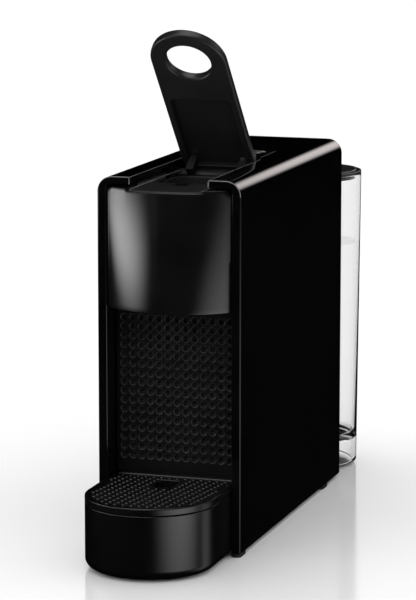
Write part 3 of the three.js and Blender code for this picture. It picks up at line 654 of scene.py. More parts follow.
def link_light(panel, name, state):
    """Limits a panel's light to the floor (INCLUDE) or to everything else (EXCLUDE)."""
    receivers = bpy.data.collections.get(name) or bpy.data.collections.new(name)
    floor = bpy.data.objects["floor"]
    if floor.name not in receivers.objects:
        receivers.objects.link(floor)
        receivers.collection_objects[0].light_linking.link_state = state
    panel.light_linking.receiver_collection = receivers


def floor_look():
    look, tree, shader = new_material("floor_white")
    surface(tree, shader, noise(tree, 6, 3), grey(0.86), grey(0.88), (0.1, 0.13))
    return look


def mirror_card():
    """A white card behind the machine that only the floor mirrors, so black gloss stays black."""
    place = Matrix.Translation((0, 8, 1.4)) @ Matrix.Rotation(math.radians(90), 4, "X")
    look = glow_look("mirror_card", 24, 6, 0.1, WHITE_STUDIO * 0.8)
    card = stage_plane("mirror_card", 12, 2.4, look, place)
    show_in_gloss_only(card)
    link_light(card, "floor_only", "INCLUDE")


def add_stage():
    bpy.context.scene.view_settings.view_transform = "Standard"
    studio_world()
    floor = stage_plane("floor", 12, 12, floor_look())
    floor.visible_glossy = False
    mirror_card()
    softbox("left_softbox", (-0.41, -0.29, 0.147), (-0.02, -0.11, 0.17), 0.36, 0.053, 8.5, 0.95, spin=-5)
    softbox("left_fill", (-0.42, -0.38, 0.21), (-0.02, -0.11, 0.19), 0.4, 0.12, 1.1, 0.95)
    softbox("right_softbox", (0.4, -0.3, -0.01), (0.02, -0.12, 0.08), 0.47, 0.2, 2.8, 0.95)
    softbox("rear_strip", (0.24, 1.3, 0.55), (0.03, 0, 0.2), 0.34, 0.28, 2.9, 0.8, (1, 0.92, 0.91))


add_camera()
add_stage()


# ------------------------------------------------------------------ shell

def cover_outline(side_thick, top_thick, slot_edge):
    """The right cover seen from the front: an upside-down L."""
    under = TOP - top_thick
    inner = HALF - side_thick
    return rounded([
        (HALF, COVER_BOTTOM, SHELL_ROUND),
        (HALF, TOP, SHELL_CORNER),
        (SLOT_HALF, TOP, slot_edge),
        (SLOT_HALF, under, SHELL_ROUND),
        (inner, under, RIM_INNER_CORNER),
        (inner, COVER_BOTTOM, SHELL_ROUND),
    ], 10)


def side_cover(side):
    """One L-shaped cover: a thick rim in front, a thinner wall behind it, every edge softly rounded."""
    mesh = bmesh.new()

    def place(a, b, t):
        return Vector((side * a, t, b))

    rim = cover_outline(RIM_WIDTH, RIM_TOP_WIDTH, SLOT_ROUND)
    wall = cover_outline(SHELL_WALL, RIM_WIDTH, SLOT_ROUND)
    closed = cover_outline(SHELL_WALL, RIM_WIDTH, SLOT_SHARP)
    slot_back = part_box("top_panel")[0].y
    rings = [add_ring(mesh, inset(rim, d), FRONT + t, place) for t, d in edge_profile(SHELL_EDGE)]
    rings.append(add_ring(mesh, rim, FRONT + RIM_DEPTH, place))
    rings.append(add_ring(mesh, wall, FRONT + RIM_DEPTH, place))
    rings.append(add_ring(mesh, wall, slot_back - 1 * MM, place))
    rings.append(add_ring(mesh, closed, slot_back, place))
    rings += [add_ring(mesh, inset(closed, d), BACK - t, place) for t, d in reversed(edge_profile(0.15 * MM))]
    closed_skin(mesh, rings)
    name = "right" if side > 0 else "left"
    piece = finished(f"{name}_cover_shell", mesh, "machine", "shell_black", sharp=50)
    return replace(piece, f"{name}_side_cover")


def head_front(x, half, bulge):
    """How far a bowed front stands out at x: an arc that rises by bulge over half."""
    radius = (half * half + bulge * bulge) / (2 * bulge)
    return math.sqrt(max(0, radius * radius - x * x)) - (radius - bulge)


def bright_edge(name, points, radius, body="machine", slot="shell_black", look=None):
    """An eight-sided bar through the points. In its default light grey look it is a painted highlight line along
    an edge.
    """
    mesh = bmesh.new()
    rings = []
    for i, point in enumerate(points):
        along = (points[min(i + 1, len(points) - 1)] - points[max(i - 1, 0)]).normalized()
        first = along.orthogonal() if i == 0 else first - along * first.dot(along)
        first.normalize()
        second = along.cross(first)
        ring = []
        for k in range(8):
            turn = 2 * math.pi * k / 8
            ring.append(mesh.verts.new(point + (first * math.cos(turn) + second * math.sin(turn)) * radius))
        rings.append(ring)
    skin(mesh, rings)
    mesh.faces.new(rings[0])
    mesh.faces.new(rings[-1])
    return finished(name, mesh, body, slot, look=look or highlight_line_look)


def paint_edge_highlights():
    """Light grey lines painted along the shell's slot edges as highlights. The left corner's line stops halfway
    round.
    """
    slot_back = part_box("top_panel")[0].y
    shelf_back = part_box("capsule_chute")[1].y
    head_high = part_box("front_panel")[1]
    shelf_front = FRONT - head_front(SHELF_HALF, head_high.x, HEAD_BULGE_AT_TOP) + 1.4 * MM
    reach = SHELL_CORNER - LINE_SUNK
    corner = [(HALF - SHELL_CORNER + reach * math.sin(turn), TOP - SHELL_CORNER + reach * math.cos(turn))
              for turn in turns(0, math.pi / 2, 6)]
    x = SLOT_HALF + LINE_SUNK
    up = [
        (x, TOP - RIM_TOP_WIDTH),
        (x, TOP - 1 * MM),
        (x + 0.3 * MM, TOP - 0.3 * MM),
        (x + 1 * MM, TOP - LINE_SUNK),
    ]
    sides = ((1, "right", corner), (-1, "left", corner[:4]))
    for side, name, bend in sides:
        points = [Vector((side * a, FRONT + 0.24 * MM, z)) for a, z in up + bend]
        bright_edge(f"{name}_front_edge", points, LINE_RADIUS)
        ends = (FRONT + 1 * MM, slot_back - 2 * MM)
        along = [Vector((side * (SLOT_HALF + 0.3 * MM), y, TOP - 0.3 * MM)) for y in ends]
        bright_edge(f"{name}_slot_edge", along, SLOT_LINE_RADIUS)
    for side, name, _ in sides:
        line = [Vector((side * (SHELF_HALF + 0.1 * MM), y, head_high.z)) for y in (shelf_front, shelf_back)]
        bright_edge(f"{name}_shelf_edge", line, LINE_RADIUS)


def top_strip():
    """The strip behind the lever, with an opening round each key."""
    low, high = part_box("top_panel")
    key_low, key_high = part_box("lungo_button")
    openings = []
    for side in (1, -1):
        x0, x1 = sorted((side * (key_low.x - KEY_GAP), side * (key_high.x + KEY_GAP)))
        openings.append(hole(rectangle(x0, x1, key_low.y - KEY_GAP, key_high.y + KEY_GAP, 3.3 * MM)))
    outline = rectangle(low.x, high.x, low.y, high.y, 0.8 * MM)
    strip = plate("top_strip", "machine", "shell_black", [outline, *openings], low.z, high.z)
    return replace(strip, "top_panel")


def cup_icon(name, body, centre, z, wide, tall):
    """A generic cup: a tapered bowl, a handle ring and a saucer line."""
    x, y = centre
    high = z + ICON_THICK
    bowl = rounded([
        (x - wide * 0.32, y - tall / 2, 0.4 * MM),
        (x + wide * 0.32, y - tall / 2, 0.4 * MM),
        (x + wide * 0.5, y + tall / 2, 0.2 * MM),
        (x - wide * 0.5, y + tall / 2, 0.2 * MM),
    ], 4)
    plate(f"{name}_bowl", body, "button_black", [bowl, hole(inset(bowl, ICON_LINE))], z, high, look=icon_look)
    at = (x + wide * 0.62, y + tall * 0.08)
    ring = [circle(1.1 * MM, at, 24), hole(circle(0.6 * MM, at, 24))]
    plate(f"{name}_handle", body, "button_black", ring, z, high, look=icon_look)
    under = y - tall / 2
    saucer = rectangle(x - wide * 0.6, x + wide * 0.6, under - 1.5 * MM, under - 0.8 * MM, 0.2 * MM, 2)
    plate(f"{name}_saucer", body, "button_black", [saucer], z, high, look=icon_look)


def button(name, sizes):
    """One key with an icon for each (width, height) in sizes, from the back to the front."""
    low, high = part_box(name)
    outline = rectangle(low.x, high.x, low.y, high.y, KEY_CORNER)
    key = plate(f"{name}_key", name, "button_black", [outline], low.z, high.z, edge=(0, 0.7 * MM))
    side = 1 if low.x > 0 else -1
    x = (low.x + high.x) / 2 - side * ICON_ASIDE
    for i, (wide, tall) in enumerate(sizes):
        centre = (x, high.y - ICON_SETBACK - i * ICON_PITCH)
        cup_icon(f"{name}_icon_{i + 1}", name, centre, high.z - 0.01 * MM, wide, tall)
    return replace(key, name)


for side in (1, -1):
    side_cover(side)
paint_edge_highlights()
top_strip()
button("lungo_button", [(7 * MM, 9 * MM), (6 * MM, 4.5 * MM)])
button("espresso_button", [(7 * MM, 6 * MM), (6 * MM, 3.5 * MM)])


# ------------------------------------------------------------------ back

def back_cover():
    """The cover behind the machine, with a row of air slots above the tank and four sunk screws."""
    low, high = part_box("back_cover")
    gland_low, gland_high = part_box("cord_gland")
    notch_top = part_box("base_plate")[1].z + COVER_NOTCH_GAP
    outline = rounded([
        (high.x, low.z, COVER_CORNER),
        (high.x, high.z, COVER_CORNER),
        (low.x, high.z, COVER_CORNER),
        (low.x, low.z, COVER_CORNER),
        (-COVER_NOTCH_HALF, low.z, COVER_NOTCH_ROUND),
        (-COVER_NOTCH_HALF, notch_top, COVER_NOTCH_ROUND),
        (COVER_NOTCH_HALF, notch_top, COVER_NOTCH_ROUND),
        (COVER_NOTCH_HALF, low.z, COVER_NOTCH_ROUND),
    ])
    gland_at = ((gland_low.x + gland_high.x) / 2, (gland_low.z + gland_high.z) / 2)
    pockets = []
    for k in range(VENT_COUNT):
        x = (k - (VENT_COUNT - 1) / 2) * VENT_PITCH
        vent = rectangle(x - VENT_HALF, x + VENT_HALF, high.z - VENT_FROM, high.z - VENT_TO, 1 * MM, 4)
        pockets.append((hole(vent), VENT_DEEP, 0.3 * MM))
    heights = (low.z + BACK_SCREW_UP, high.z - BACK_SCREW_DOWN)
    screws_at = [(side * BACK_SCREW_X, z) for side in (1, -1) for z in heights]
    pockets += [(hole(circle(BACK_SCREW_SINK, at, 32)), 1.2 * MM, 0.3 * MM) for at in screws_at]

    def outwards(a, b, t):
        return Vector((a, low.y + high.y - t, b))

    loops = [outline, hole(circle(GLAND_HOLE, gland_at, 32))]
    cover = plate("back_cover_plate", "machine", "matte_black", loops, low.y, high.y,
                  place=outwards, edge=(0.6 * MM, 0), pockets=pockets)
    replace(cover, "back_cover")
    for i, at in enumerate(screws_at):
        socket = hole(circle(BACK_SCREW_SOCKET, at, 6))
        plate(f"back_screw_{i + 1}", "machine", "steel", [circle(BACK_SCREW_RADIUS, at, 32)],
              low.y + 0.2 * MM, low.y + 2 * MM, place=outwards, edge=(0.4 * MM, 0),
              pockets=[(socket, 1.1 * MM, 0.1 * MM)])


back_cover()


# ------------------------------------------------------------------ brewing head

def head_ring(z, shrink, low, high, back):
    """The head's outline at one height, moved in by shrink: a bowed front between two straight sides."""
    half = high.x
    share = (z - low.z) / (high.z - low.z)
    lean = 1 + share * (HEAD_BULGE_AT_TOP / HEAD_BULGE - 1)
    rise = max(0, z - (high.z - HEAD_CORNER)) / HEAD_CORNER
    width = half - HEAD_CORNER * (1 - math.sqrt(max(0, 1 - rise * rise))) - shrink
    side_to = FRONT + 2 * MM
    points = [Vector((width, back - shrink)), Vector((-width, back - shrink)), Vector((-width, side_to))]
    for x in turns(-width, width, 56):
        past = max(0, abs(x) - width + HEAD_EDGE) / HEAD_EDGE
        side_round = HEAD_EDGE * (1 - math.sqrt(max(0, 1 - past * past)))
        points.append(Vector((x, FRONT - lean * head_front(x, half, HEAD_BULGE) + shrink + side_round)))
    points.append(Vector((width, side_to)))
    return points


def raise_shoulders(mesh, top):
    """Lifts the head's top beside the closed lever, up to the covers."""
    for side in (1, -1):
        for cut in (SHOULDER_FROM, SHOULDER_TO):
            everything = mesh.verts[:] + mesh.edges[:] + mesh.faces[:]
            bmesh.ops.bisect_plane(mesh, geom=everything, plane_co=(side * cut, 0, 0), plane_no=(1, 0, 0))
    under = top - HEAD_CORNER - 2 * MM
    for vert in mesh.verts:
        beside = min(1, max(0, (abs(vert.co.x) - SHOULDER_FROM) / (SHOULDER_TO - SHOULDER_FROM)))
        near_top = max(0, (vert.co.z - under) / (top - under))
        vert.co.z += HEAD_SHOULDER * beside * near_top


def brewing_head():
    """The bowed front: a round top edge, a hollow underside and shoulders beside the lever."""
    low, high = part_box("front_panel")
    high = Vector((high.x, high.y, high.z - SHELF_STEP))
    back = FRONT + RIM_DEPTH
    heights = [high.z - HEAD_EDGE - (high.z - HEAD_EDGE - low.z - HEAD_EDGE) * k / 28 for k in range(29)]
    near_top = [high.z - HEAD_CORNER * f for f in (0.85, 0.7, 0.55, 0.45, 0.37)]
    heights = sorted(set(heights + near_top), reverse=True)
    path = [(high.z - t, d) for t, d in edge_profile(HEAD_EDGE, 6)[:-2]]
    path += [(z, 0) for z in heights]
    path += [(low.z + t, d) for t, d in reversed(edge_profile(HEAD_EDGE * 0.45)[1:-2])]
    path += [(low.z, HEAD_WALL), (low.z + 1 * MM, HEAD_WALL), (high.z - HEAD_CORNER - 1 * MM, HEAD_WALL)]
    mesh = bmesh.new()
    rings = [add_ring(mesh, head_ring(z, d, low, high, back), z, flat) for z, d in path]
    closed_skin(mesh, rings)
    raise_shoulders(mesh, high.z)
    head = finished("brewing_head", mesh, "machine", "head_black", sharp=35)
    replace(head, "front_panel")
    shelf()


def shelf():
    """The raised plate on the head's top, with a notch in its back edge."""
    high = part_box("front_panel")[1]
    outline = []
    for x in turns(-SHELF_HALF, SHELF_HALF, 32):
        y = FRONT - head_front(x, high.x, HEAD_BULGE) * HEAD_BULGE_AT_TOP / HEAD_BULGE + SHELF_SETBACK
        outline.append(Vector((x, y)))
    notch = FRONT + SHELF_NOTCH_FROM
    outline += [
        Vector((SHELF_HALF, high.y)),
        Vector((SHELF_NOTCH_HALF, high.y)),
        Vector((SHELF_NOTCH_HALF, notch)),
        Vector((-SHELF_NOTCH_HALF, notch)),
        Vector((-SHELF_NOTCH_HALF, high.y)),
        Vector((-SHELF_HALF, high.y)),
    ]
    plate("head_shelf", "machine", "head_black", [outline], high.z - HEAD_WALL, high.z, edge=(0, 0.5 * MM),
          look=shelf_look)


def outlet():
    """The coffee spout under the head: a funnel whose profile is drawn in millimetres for a 13 mm radius."""
    low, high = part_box("coffee_outlet")
    centre = ((low.x + high.x) / 2, (low.y + high.y) / 2)
    wide = high.x - centre[0]
    profile = [(0, 0), (4.6, 0), (5, 0.4), (7, 5), (7, 14), (13, 24), (13, 27), (11, 27), (5, 14), (3.4, 2.4),
               (3, 2), (0, 2)]
    points = [(r * MM * wide / (13 * MM), low.z + h * MM) for r, h in profile]
    return replace(lathe("outlet_funnel", "machine", "matte_black", points, centre), "coffee_outlet")


def chute():
    """The pod opening: a flat frame and a wall that runs down from its mouth."""
    low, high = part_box("capsule_chute")
    outline = rectangle(low.x, high.x, low.y, high.y, 0.8 * MM)
    mouth = rectangle(-MOUTH_HALF, MOUTH_HALF, FRONT + MOUTH_FROM, FRONT + MOUTH_TO, MOUTH_CORNER, 12)
    frame_piece = plate("chute_frame", "machine", "matte_black", [outline, hole(mouth)],
                        high.z - 2.8 * MM, high.z, edge=(0, 0.9 * MM))
    wall = [inset(mouth, -2 * MM), hole(inset(mouth, 0.05 * MM))]
    plate("chute_wall", "machine", "matte_black", wall, low.z, high.z - 2 * MM)
    return replace(frame_piece, "capsule_chute")


brewing_head()
outlet()
chute()


# ------------------------------------------------------------------ lever

def joint(name):
    return next(j for j in frame["joints"] if j["name"] == name)


hinge = joint("lever_hinge")
raised = Matrix.Rotation(math.radians(-hinge["range_deg"][1]), 4, "X")
lever_turn = Matrix.Translation(Vector(hinge["pos_m"])) @ raised


def on_lever(a, b, t):
    return lever_turn @ Vector((a, b, t))


def lever_plate():
    """The lever: a flat bar with a ring at its end and a shallow recess in its underside."""
    arc = [Vector((LEVER_HALF * math.cos(t), RING_CENTRE + LEVER_HALF * math.sin(t)))
           for t in turns(math.pi, 2 * math.pi, 48)]
    outline = [
        Vector((LEVER_HALF, LEVER_REAR)),
        Vector((-LEVER_HALF, LEVER_REAR)),
        Vector((-LEVER_HALF, RING_CENTRE + SUPPORT)),
        *arc,
        Vector((LEVER_HALF, RING_CENTRE + SUPPORT)),
    ]
    ring = hole(circle(RING_HOLE, (0, RING_CENTRE), 64))
    recess = hole(rectangle(-RECESS_HALF, RECESS_HALF, RECESS_FRONT, RECESS_BACK, 3 * MM))
    lever = plate("lever_arm", "lever", "lever_black", [outline, ring],
                  LEVER_UNDER, LEVER_UNDER + LEVER_THICK, place=on_lever, edge=(LEVER_EDGE, LEVER_EDGE),
                  pockets=[(recess, RECESS_DEEP, 0.4 * MM)])
    return replace(lever, "lever")


lever_plate()
for part in ("lever_yoke", "lever_screw_left", "lever_screw_right", "brew_carriage", "base_plate"):
    soften(part)


# ------------------------------------------------------------------ grille

def paint(mesh, first, index):
    """Gives a material to the faces made since there were first of them."""
    mesh.faces.ensure_lookup_table()
    for face in mesh.faces[first:]:
        face.material_index = index


def grille_hole(mesh, x, z, face, profile):
    """One square of the grille with its hole: the wall and floor get a slightly darker, rougher plastic as painted
    shade, and the rolled rim a lighter, glossier one as a painted highlight.
    """
    angles = [2 * math.pi * k / GRILLE_SIDES + math.pi / 4 for k in range(GRILLE_SIDES)]
    border = []
    for turn in angles:
        c, s = math.cos(turn), math.sin(turn)
        reach = 1 / max(abs(c), abs(s))
        at = (x + GRILLE_PITCH_X / 2 * c * reach, face, z + GRILLE_PITCH_Z / 2 * s * reach)
        border.append(mesh.verts.new(at))
    rings = [border]
    for depth, radius in profile:
        loop = [Vector((x + radius * math.cos(t), z + radius * math.sin(t))) for t in angles]
        rings.append(add_ring(mesh, loop, face + depth, upright))
    skin(mesh, rings[:2])
    made = len(mesh.faces)
    skin(mesh, rings[-3:])
    mesh.faces.new(rings[-1])
    paint(mesh, made, 1)
    made = len(mesh.faces)
    skin(mesh, rings[1:-2])
    paint(mesh, made, 2)


def grille():
    """The panel behind the cup: a square grid of round holes with softly rolled rims, lighter as a painted
    highlight, and walls and floors darker as painted shade.
    """
    low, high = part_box("grille_panel")
    mesh = bmesh.new()
    profile = [(0, GRILLE_HOLE + GRILLE_ROLL + SUPPORT)]
    for turn in turns(0, math.pi / 2, 4):
        profile.append((GRILLE_ROLL * (1 - math.cos(turn)), GRILLE_HOLE + GRILLE_ROLL * (1 - math.sin(turn))))
    profile += [(GRILLE_DEEP - SUPPORT, GRILLE_HOLE), (GRILLE_DEEP, GRILLE_HOLE - SUPPORT)]
    face = low.y + 0.02 * MM
    for column in range(GRILLE_COLUMNS):
        for row in range(GRILLE_ROWS):
            x = (column - (GRILLE_COLUMNS - 1) / 2) * GRILLE_PITCH_X
            z = GRILLE_FIRST_ROW - row * GRILLE_PITCH_Z
            grille_hole(mesh, x, z, face, profile)
    wide = GRILLE_PITCH_X / 2 * GRILLE_COLUMNS
    top = GRILLE_FIRST_ROW + GRILLE_PITCH_Z / 2
    bottom = GRILLE_FIRST_ROW - (GRILLE_ROWS - 0.5) * GRILLE_PITCH_Z
    field = [(-wide, bottom), (wide, bottom), (wide, top), (-wide, top)]
    inner = [mesh.verts.new((x, face, z)) for x, z in field]
    edge = rectangle(low.x, high.x, low.z, high.z, 1.2 * MM)
    rings = [add_ring(mesh, inset(edge, d), face + t, upright) for t, d in edge_profile(0.4 * MM)]
    rings.append(add_ring(mesh, edge, high.y, upright))
    skin(mesh, rings)
    cap(mesh, [rings[0], inner])
    cap(mesh, [rings[-1]])
    panel = finished("grille_dimples", mesh, "drip_module", "grille_black", sharp=50)
    # painted shade in the holes (slot 1) and painted highlight on the rims (slot 2)
    panel.data.materials.append(hole_shade_look)
    panel.data.materials.append(rim_highlight_look)
    return replace(panel, "grille_panel")


grille()


# ------------------------------------------------------------------ drip tray

tray_low, tray_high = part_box("drip_tray")
grid_low, grid_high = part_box("drip_grid")
TRAY_FRONT = tray_low.y
TRAY_BACK = grid_high.y
TRAY_TOP = tray_high.z


def tray_outline(shrink):
    """Straight sides and a half-round front. Behind the shell's rim it is a little narrower."""
    step_at = FRONT + TRAY_STEP_AT
    outer = tongue(TRAY_HALF - shrink, step_at, TRAY_FRONT + shrink)
    narrow = TRAY_INSET_HALF - shrink
    step = [
        Vector((narrow, step_at + TRAY_STEP)),
        Vector((narrow, TRAY_BACK - shrink)),
        Vector((-narrow, TRAY_BACK - shrink)),
        Vector((-narrow, step_at + TRAY_STEP)),
    ]
    return step + outer[1:] + [outer[0]]


def tray():
    """The drip tray with a round bottom edge, and the tongue that joins it to the capsule container."""
    mesh = bmesh.new()
    path = [(tray_low.z, TRAY_FILLET + SUPPORT)]
    for turn in turns(0, math.pi / 2, 10):
        path.append((tray_low.z + TRAY_FILLET * (1 - math.cos(turn)), TRAY_FILLET * (1 - math.sin(turn))))
    path.append((tray_low.z + TRAY_FILLET + SUPPORT, 0))
    path += [(TRAY_TOP - t, d) for t, d in reversed(edge_profile(0.5 * MM))]
    path += [(TRAY_TOP - t, TRAY_WALL - d) for t, d in edge_profile(0.4 * MM)]
    path += [(TRAY_FLOOR + 1 * MM, TRAY_WALL), (TRAY_FLOOR, TRAY_WALL + 1 * MM),
             (TRAY_FLOOR, TRAY_WALL + 1.1 * MM)]
    rings = [add_ring(mesh, tray_outline(d), z, flat) for z, d in path]
    closed_skin(mesh, rings)
    body = finished("tray_body", mesh, "drip_module", "tray_black")
    replace(body, "drip_tray")
    outline = rectangle(-33 * MM, 33 * MM, TRAY_BACK - 4 * MM, tray_high.y, 2 * MM)
    plate("tray_tongue", "drip_module", "tray_black", [outline], 5.4 * MM, 7.6 * MM,
          edge=(0.3 * MM, 0.3 * MM))


def grid():
    """The drip grid: a rolled lip round a sunk field of small slanting ridges, with a slot for a finger."""
    mesh = bmesh.new()
    top = grid_high.z
    under = top - GRID_THICK
    sunk = top - GRID_SUNK
    path = [(under + t, d) for t, d in edge_profile(0.3 * MM)]
    path += [(top - t, d) for t, d in reversed(edge_profile(0.8 * MM))]
    path += [(top, GRID_LIP), (top - 0.1 * MM, GRID_LIP + 0.1 * MM), (sunk, GRID_LIP + 0.25 * MM),
             (sunk, GRID_LIP + 0.3 * MM)]
    rings = [add_ring(mesh, tray_outline(d), z, flat) for z, d in path]
    skin(mesh, rings)
    slot_front = FRONT + FINGER_FRONT
    slot_back = FRONT + FINGER_BACK
    finger = hole(rectangle(-FINGER_HALF, FINGER_HALF, slot_front, slot_back, 1 * MM, 3))
    finger_path = [(sunk, -0.3 * MM), (sunk - 0.1 * MM, -0.05 * MM), (under, 0)]
    walls = [add_ring(mesh, inset(finger, -d), z, flat) for z, d in finger_path]
    skin(mesh, walls)
    cap(mesh, [rings[-1], walls[0]])
    cap(mesh, [rings[0], walls[-1]])
    body = finished("grid_plate", mesh, "drip_grid", "grid_black")
    replace(body, "drip_grid")
    bar = rectangle(-FINGER_HALF - 0.3 * MM, FINGER_HALF + 0.3 * MM,
                    slot_back + 0.1 * MM, slot_back + 1.7 * MM, 0.6 * MM, 4)
    plate("grid_bar", "drip_grid", "grid_black", [bar], sunk - 0.2 * MM, top + 0.3 * MM, edge=(0, 0.5 * MM))
    ridges(sunk)
    skirt = [tray_outline(TRAY_WALL + 1.4 * MM), hole(tray_outline(TRAY_WALL + 3 * MM))]
    plate("grid_skirt", "drip_grid", "grid_black", skirt, grid_low.z, top - 3.8 * MM)


def add_ridge(mesh, at):
    """One small slanting bump with a rounded back."""
    along = Vector((math.cos(RIDGE_SLANT), math.sin(RIDGE_SLANT), 0))
    across = Vector((-along.y, along.x, 0))
    corners = ((1, 0), (0.6, 1), (-0.6, 1), (-1, 0), (-0.6, -1), (0.6, -1))
    rings = []
    layers = ((1, -0.05 * MM), (0.92, RIDGE_TALL * 0.45), (0.7, RIDGE_TALL * 0.85), (0.35, RIDGE_TALL))
    for share, rise in layers:
        points = [at + along * RIDGE_HALF_LONG * a * (1 + share) / 2 + across * RIDGE_HALF_WIDE * b * share
                  for a, b in corners]
        rings.append([mesh.verts.new(point + Vector((0, 0, rise))) for point in points])
    skin(mesh, rings)
    mesh.faces.new(rings[-1])
    mesh.faces.new(list(reversed(rings[0])))


def ridges(z):
    """Ridges all over the grid's sunk field but the finger slot. Each row shifts a little sideways."""
    mesh = bmesh.new()
    centre_y = TRAY_FRONT + TRAY_HALF
    rows = int((TRAY_BACK - TRAY_FRONT - 7 * MM) / RIDGE_PITCH_Y)
    for row in range(rows + 1):
        y = TRAY_FRONT + 4 * MM + row * RIDGE_PITCH_Y
        for column in range(-7, 8):
            x = (column + RIDGE_DRIFT * (row % 8 - 4)) * RIDGE_PITCH_X
            reach = math.hypot(x, min(0, y - centre_y))
            beside = abs(x) > FINGER_HALF + RIDGE_CLEAR
            behind = y > FRONT + FINGER_BACK + 1.9 * MM + RIDGE_CLEAR
            beyond = y < FRONT + FINGER_FRONT - RIDGE_CLEAR or behind
            if reach < TRAY_INSET_HALF - 3.2 * MM and (beside or beyond):
                add_ridge(mesh, Vector((x, y, z)))
    return finished("grid_ridges", mesh, "drip_grid", "grid_black", sharp=75)


tray()
grid()


# ------------------------------------------------------------------ water tank

tank_low, tank_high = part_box("water_tank")
lid_low, lid_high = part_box("tank_lid")
TANK_AT = (0, (tank_low.y + tank_high.y) / 2)
TANK_A = lid_high.x
TANK_B = (tank_high.y - tank_low.y) / 2
TANK_TOP = lid_high.z


def tank_ring(shrink, z):
    """The tank's oval at one height: it widens a little towards the top."""
    share = (z - tank_low.z) / (TANK_TOP - tank_low.z)
    wide = TANK_FOOT_HALF + (TANK_A - TANK_FOOT_HALF) * share
    return ellipse(wide - shrink, TANK_B - shrink, TANK_AT, 128)


def cut(piece, low, high):
    """piece minus the box between two corners."""
    mesh = bmesh.new()
    bmesh.ops.create_cube(mesh, size=1)
    for vertex in mesh.verts:
        vertex.co = Vector([(low[i] + high[i]) / 2 + vertex.co[i] * (high[i] - low[i]) for i in range(3)])
    data = bpy.data.meshes.new("cutter")
    mesh.to_mesh(data)
    mesh.free()
    tool = bpy.data.objects.new("cutter", data)
    bpy.context.scene.collection.objects.link(tool)
    modifier = piece.modifiers.new("cut", "BOOLEAN")
    modifier.operation = "DIFFERENCE"
    modifier.solver = "EXACT"
    modifier.object = tool
    result = bpy.data.meshes.new_from_object(piece.evaluated_get(bpy.context.evaluated_depsgraph_get()))
    piece.modifiers.clear()
    piece.data = result
    bpy.data.objects.remove(tool)
    return piece


def tank():
    """The clear tank: a skirt under its floor, round edges, and an opening in the skirt for the platform."""
    mesh = bmesh.new()
    low = tank_low.z
    path = [(TANK_FLOOR_LOW, TANK_WALL + 4 * MM), (TANK_FLOOR_LOW, TANK_WALL + 0.6 * MM),
            (TANK_FLOOR_LOW - 0.6 * MM, TANK_WALL)]
    path += [(low + t, TANK_WALL - d) for t, d in reversed(edge_profile(0.6 * MM))]
    path += [(low + t, d) for t, d in edge_profile(0.9 * MM)]
    path += [(low + (TANK_RIM - low) * k / 12, 0) for k in range(1, 12)]
    path += [(TANK_RIM - t, d) for t, d in reversed(edge_profile(0.7 * MM))]
    path += [(TANK_RIM - t, TANK_WALL - d) for t, d in edge_profile(0.7 * MM)]
    path += [(TANK_FLOOR_HIGH + 3 * MM, TANK_WALL), (TANK_FLOOR_HIGH + 0.9 * MM, TANK_WALL + 0.9 * MM),
             (TANK_FLOOR_HIGH, TANK_WALL + 3 * MM), (TANK_FLOOR_HIGH, TANK_WALL + 4 * MM)]
    rings = [add_ring(mesh, tank_ring(d, z), z, flat) for z, d in path]
    closed_skin(mesh, rings)
    piece = finished("tank_wall", mesh, "water_tank", "tank_clear")
    notch_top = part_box("base_plate")[1].z + 0.8 * MM
    cut(piece, (-TANK_NOTCH_HALF, tank_low.y - 5 * MM, -1 * MM),
        (TANK_NOTCH_HALF, TANK_AT[1] + 4 * MM, notch_top))
    return replace(piece, "water_tank")


def water():
    mesh = bmesh.new()
    path = [
        (TANK_FLOOR_HIGH - WATER_OVERLAP, TANK_WALL + 3 * MM),
        (TANK_FLOOR_HIGH + 0.9 * MM - WATER_OVERLAP, TANK_WALL + 0.9 * MM - WATER_OVERLAP),
        (TANK_FLOOR_HIGH + 3 * MM, TANK_WALL - WATER_OVERLAP),
        (WATER_LEVEL, TANK_WALL - WATER_OVERLAP),
        (WATER_LEVEL, TANK_WALL + 1.2 * MM),
    ]
    rings = [add_ring(mesh, tank_ring(d, z), z, flat) for z, d in path]
    closed_skin(mesh, rings)
    return finished("tank_water", mesh, "water_tank", "tank_clear", look=water_look)


def lid_loop(shrink, y0, y1):
    """The lid's oval between two straight cuts across it, anticlockwise."""
    a = TANK_A - shrink
    b = TANK_B - shrink
    cy = TANK_AT[1]
    y0 = max(y0, cy - b)
    y1 = min(y1, cy + b)
    first = math.asin(max(-1, (y0 - cy) / b))
    last = math.asin(min(1, (y1 - cy) / b))
    right = [Vector((a * math.cos(t), cy + b * math.sin(t))) for t in turns(first, last, 56)]
    left = [Vector((-point.x, point.y)) for point in reversed(right)]
    loop = []
    for point in right + left:
        if not loop or (point - loop[-1]).length > 0.02 * MM:
            loop.append(point)
    if (loop[0] - loop[-1]).length < 0.02 * MM:
        loop.pop()
    return loop


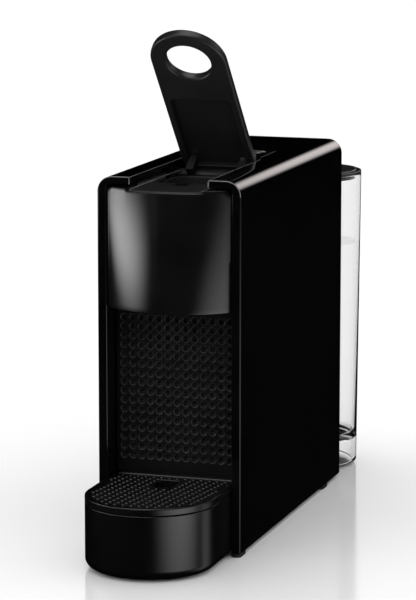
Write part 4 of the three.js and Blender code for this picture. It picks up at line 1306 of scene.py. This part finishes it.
def lid():
    """A plug in the tank's mouth under a flange on its rim, an arm and a knuckle round the hinge pin."""
    pin_low, pin_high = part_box("lid_hinge_pin")
    hinge_y = (pin_low.y + pin_high.y) / 2
    hinge_z = (pin_low.z + pin_high.z) / 2
    back = hinge_y - LID_BEFORE_HINGE
    front = lid_low.y
    outline = lid_loop(0, front, back)
    flange = plate("lid_flange", "tank_lid", "lid_smoke", [outline],
                   TANK_TOP - LID_FLANGE, TANK_TOP, edge=(0.3 * MM, 0.7 * MM))
    replace(flange, "tank_lid")
    disc = lid_loop(LID_DISC, front, back - 2.2 * MM)
    plate("lid_disc", "tank_lid", "lid_smoke", [disc], TANK_TOP - 0.3 * MM, TANK_TOP + 0.55 * MM,
          edge=(0, 0.45 * MM))
    plate("lid_plug", "tank_lid", "lid_smoke", [lid_loop(LID_PLUG, front, back)],
          lid_low.z, TANK_TOP - LID_FLANGE + 0.2 * MM, edge=(0.5 * MM, 0))
    arm = rectangle(-LID_ARM_HALF, LID_ARM_HALF, back - 1 * MM, hinge_y, 0.2 * MM, 2)
    plate("lid_arm", "tank_lid", "lid_smoke", [arm], TANK_TOP - 2.6 * MM, TANK_TOP - 0.05 * MM)
    mesh = bmesh.new()
    centre = (hinge_y, hinge_z)
    knuckle = [circle(KNUCKLE_RADIUS, centre, 32), hole(circle(KNUCKLE_BORE, centre, 24))]
    add_plate(mesh, knuckle, -LID_ARM_HALF, LID_ARM_HALF, sideways, (0.2 * MM, 0.2 * MM))
    finished("lid_knuckle", mesh, "tank_lid", "lid_smoke")
    # painted highlights: light grey lines round the lid's raised disc and along its rim
    lid_line("lid_disc_highlight", inset(disc, -0.15 * MM), TANK_TOP + 0.2 * MM, LINE_RADIUS)
    lid_line("lid_rim_highlight", inset(outline, 0.25 * MM), TANK_TOP - 0.3 * MM, LID_LINE_RADIUS)


def lid_line(name, loop, z, radius):
    """A painted highlight line all the way round the lid. Its ends overlap by one step."""
    points = [Vector((point.x, point.y, z)) for point in loop]
    bright_edge(name, points + points[:2], radius, "tank_lid", "lid_smoke")


def spring():
    """The valve's coil, riding on the tank."""
    low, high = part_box("valve_spring")
    centre = (low + high) / 2
    radius = (high.x - low.x) / 2 - SPRING_WIRE
    count = SPRING_TURNS * SPRING_STEPS
    points = []
    for k in range(count + 1):
        turn = 2 * math.pi * k / SPRING_STEPS
        z = low.z + SPRING_WIRE + (high.z - low.z - 2 * SPRING_WIRE) * k / count
        points.append(Vector((centre.x + radius * math.cos(turn), centre.y + radius * math.sin(turn), z)))
    coil = bright_edge("valve_coil", points, SPRING_WIRE, "water_tank", "steel", looks["steel"])
    replace(coil, "valve_spring")
    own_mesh(coil)


tank()
water()
lid()
spring()
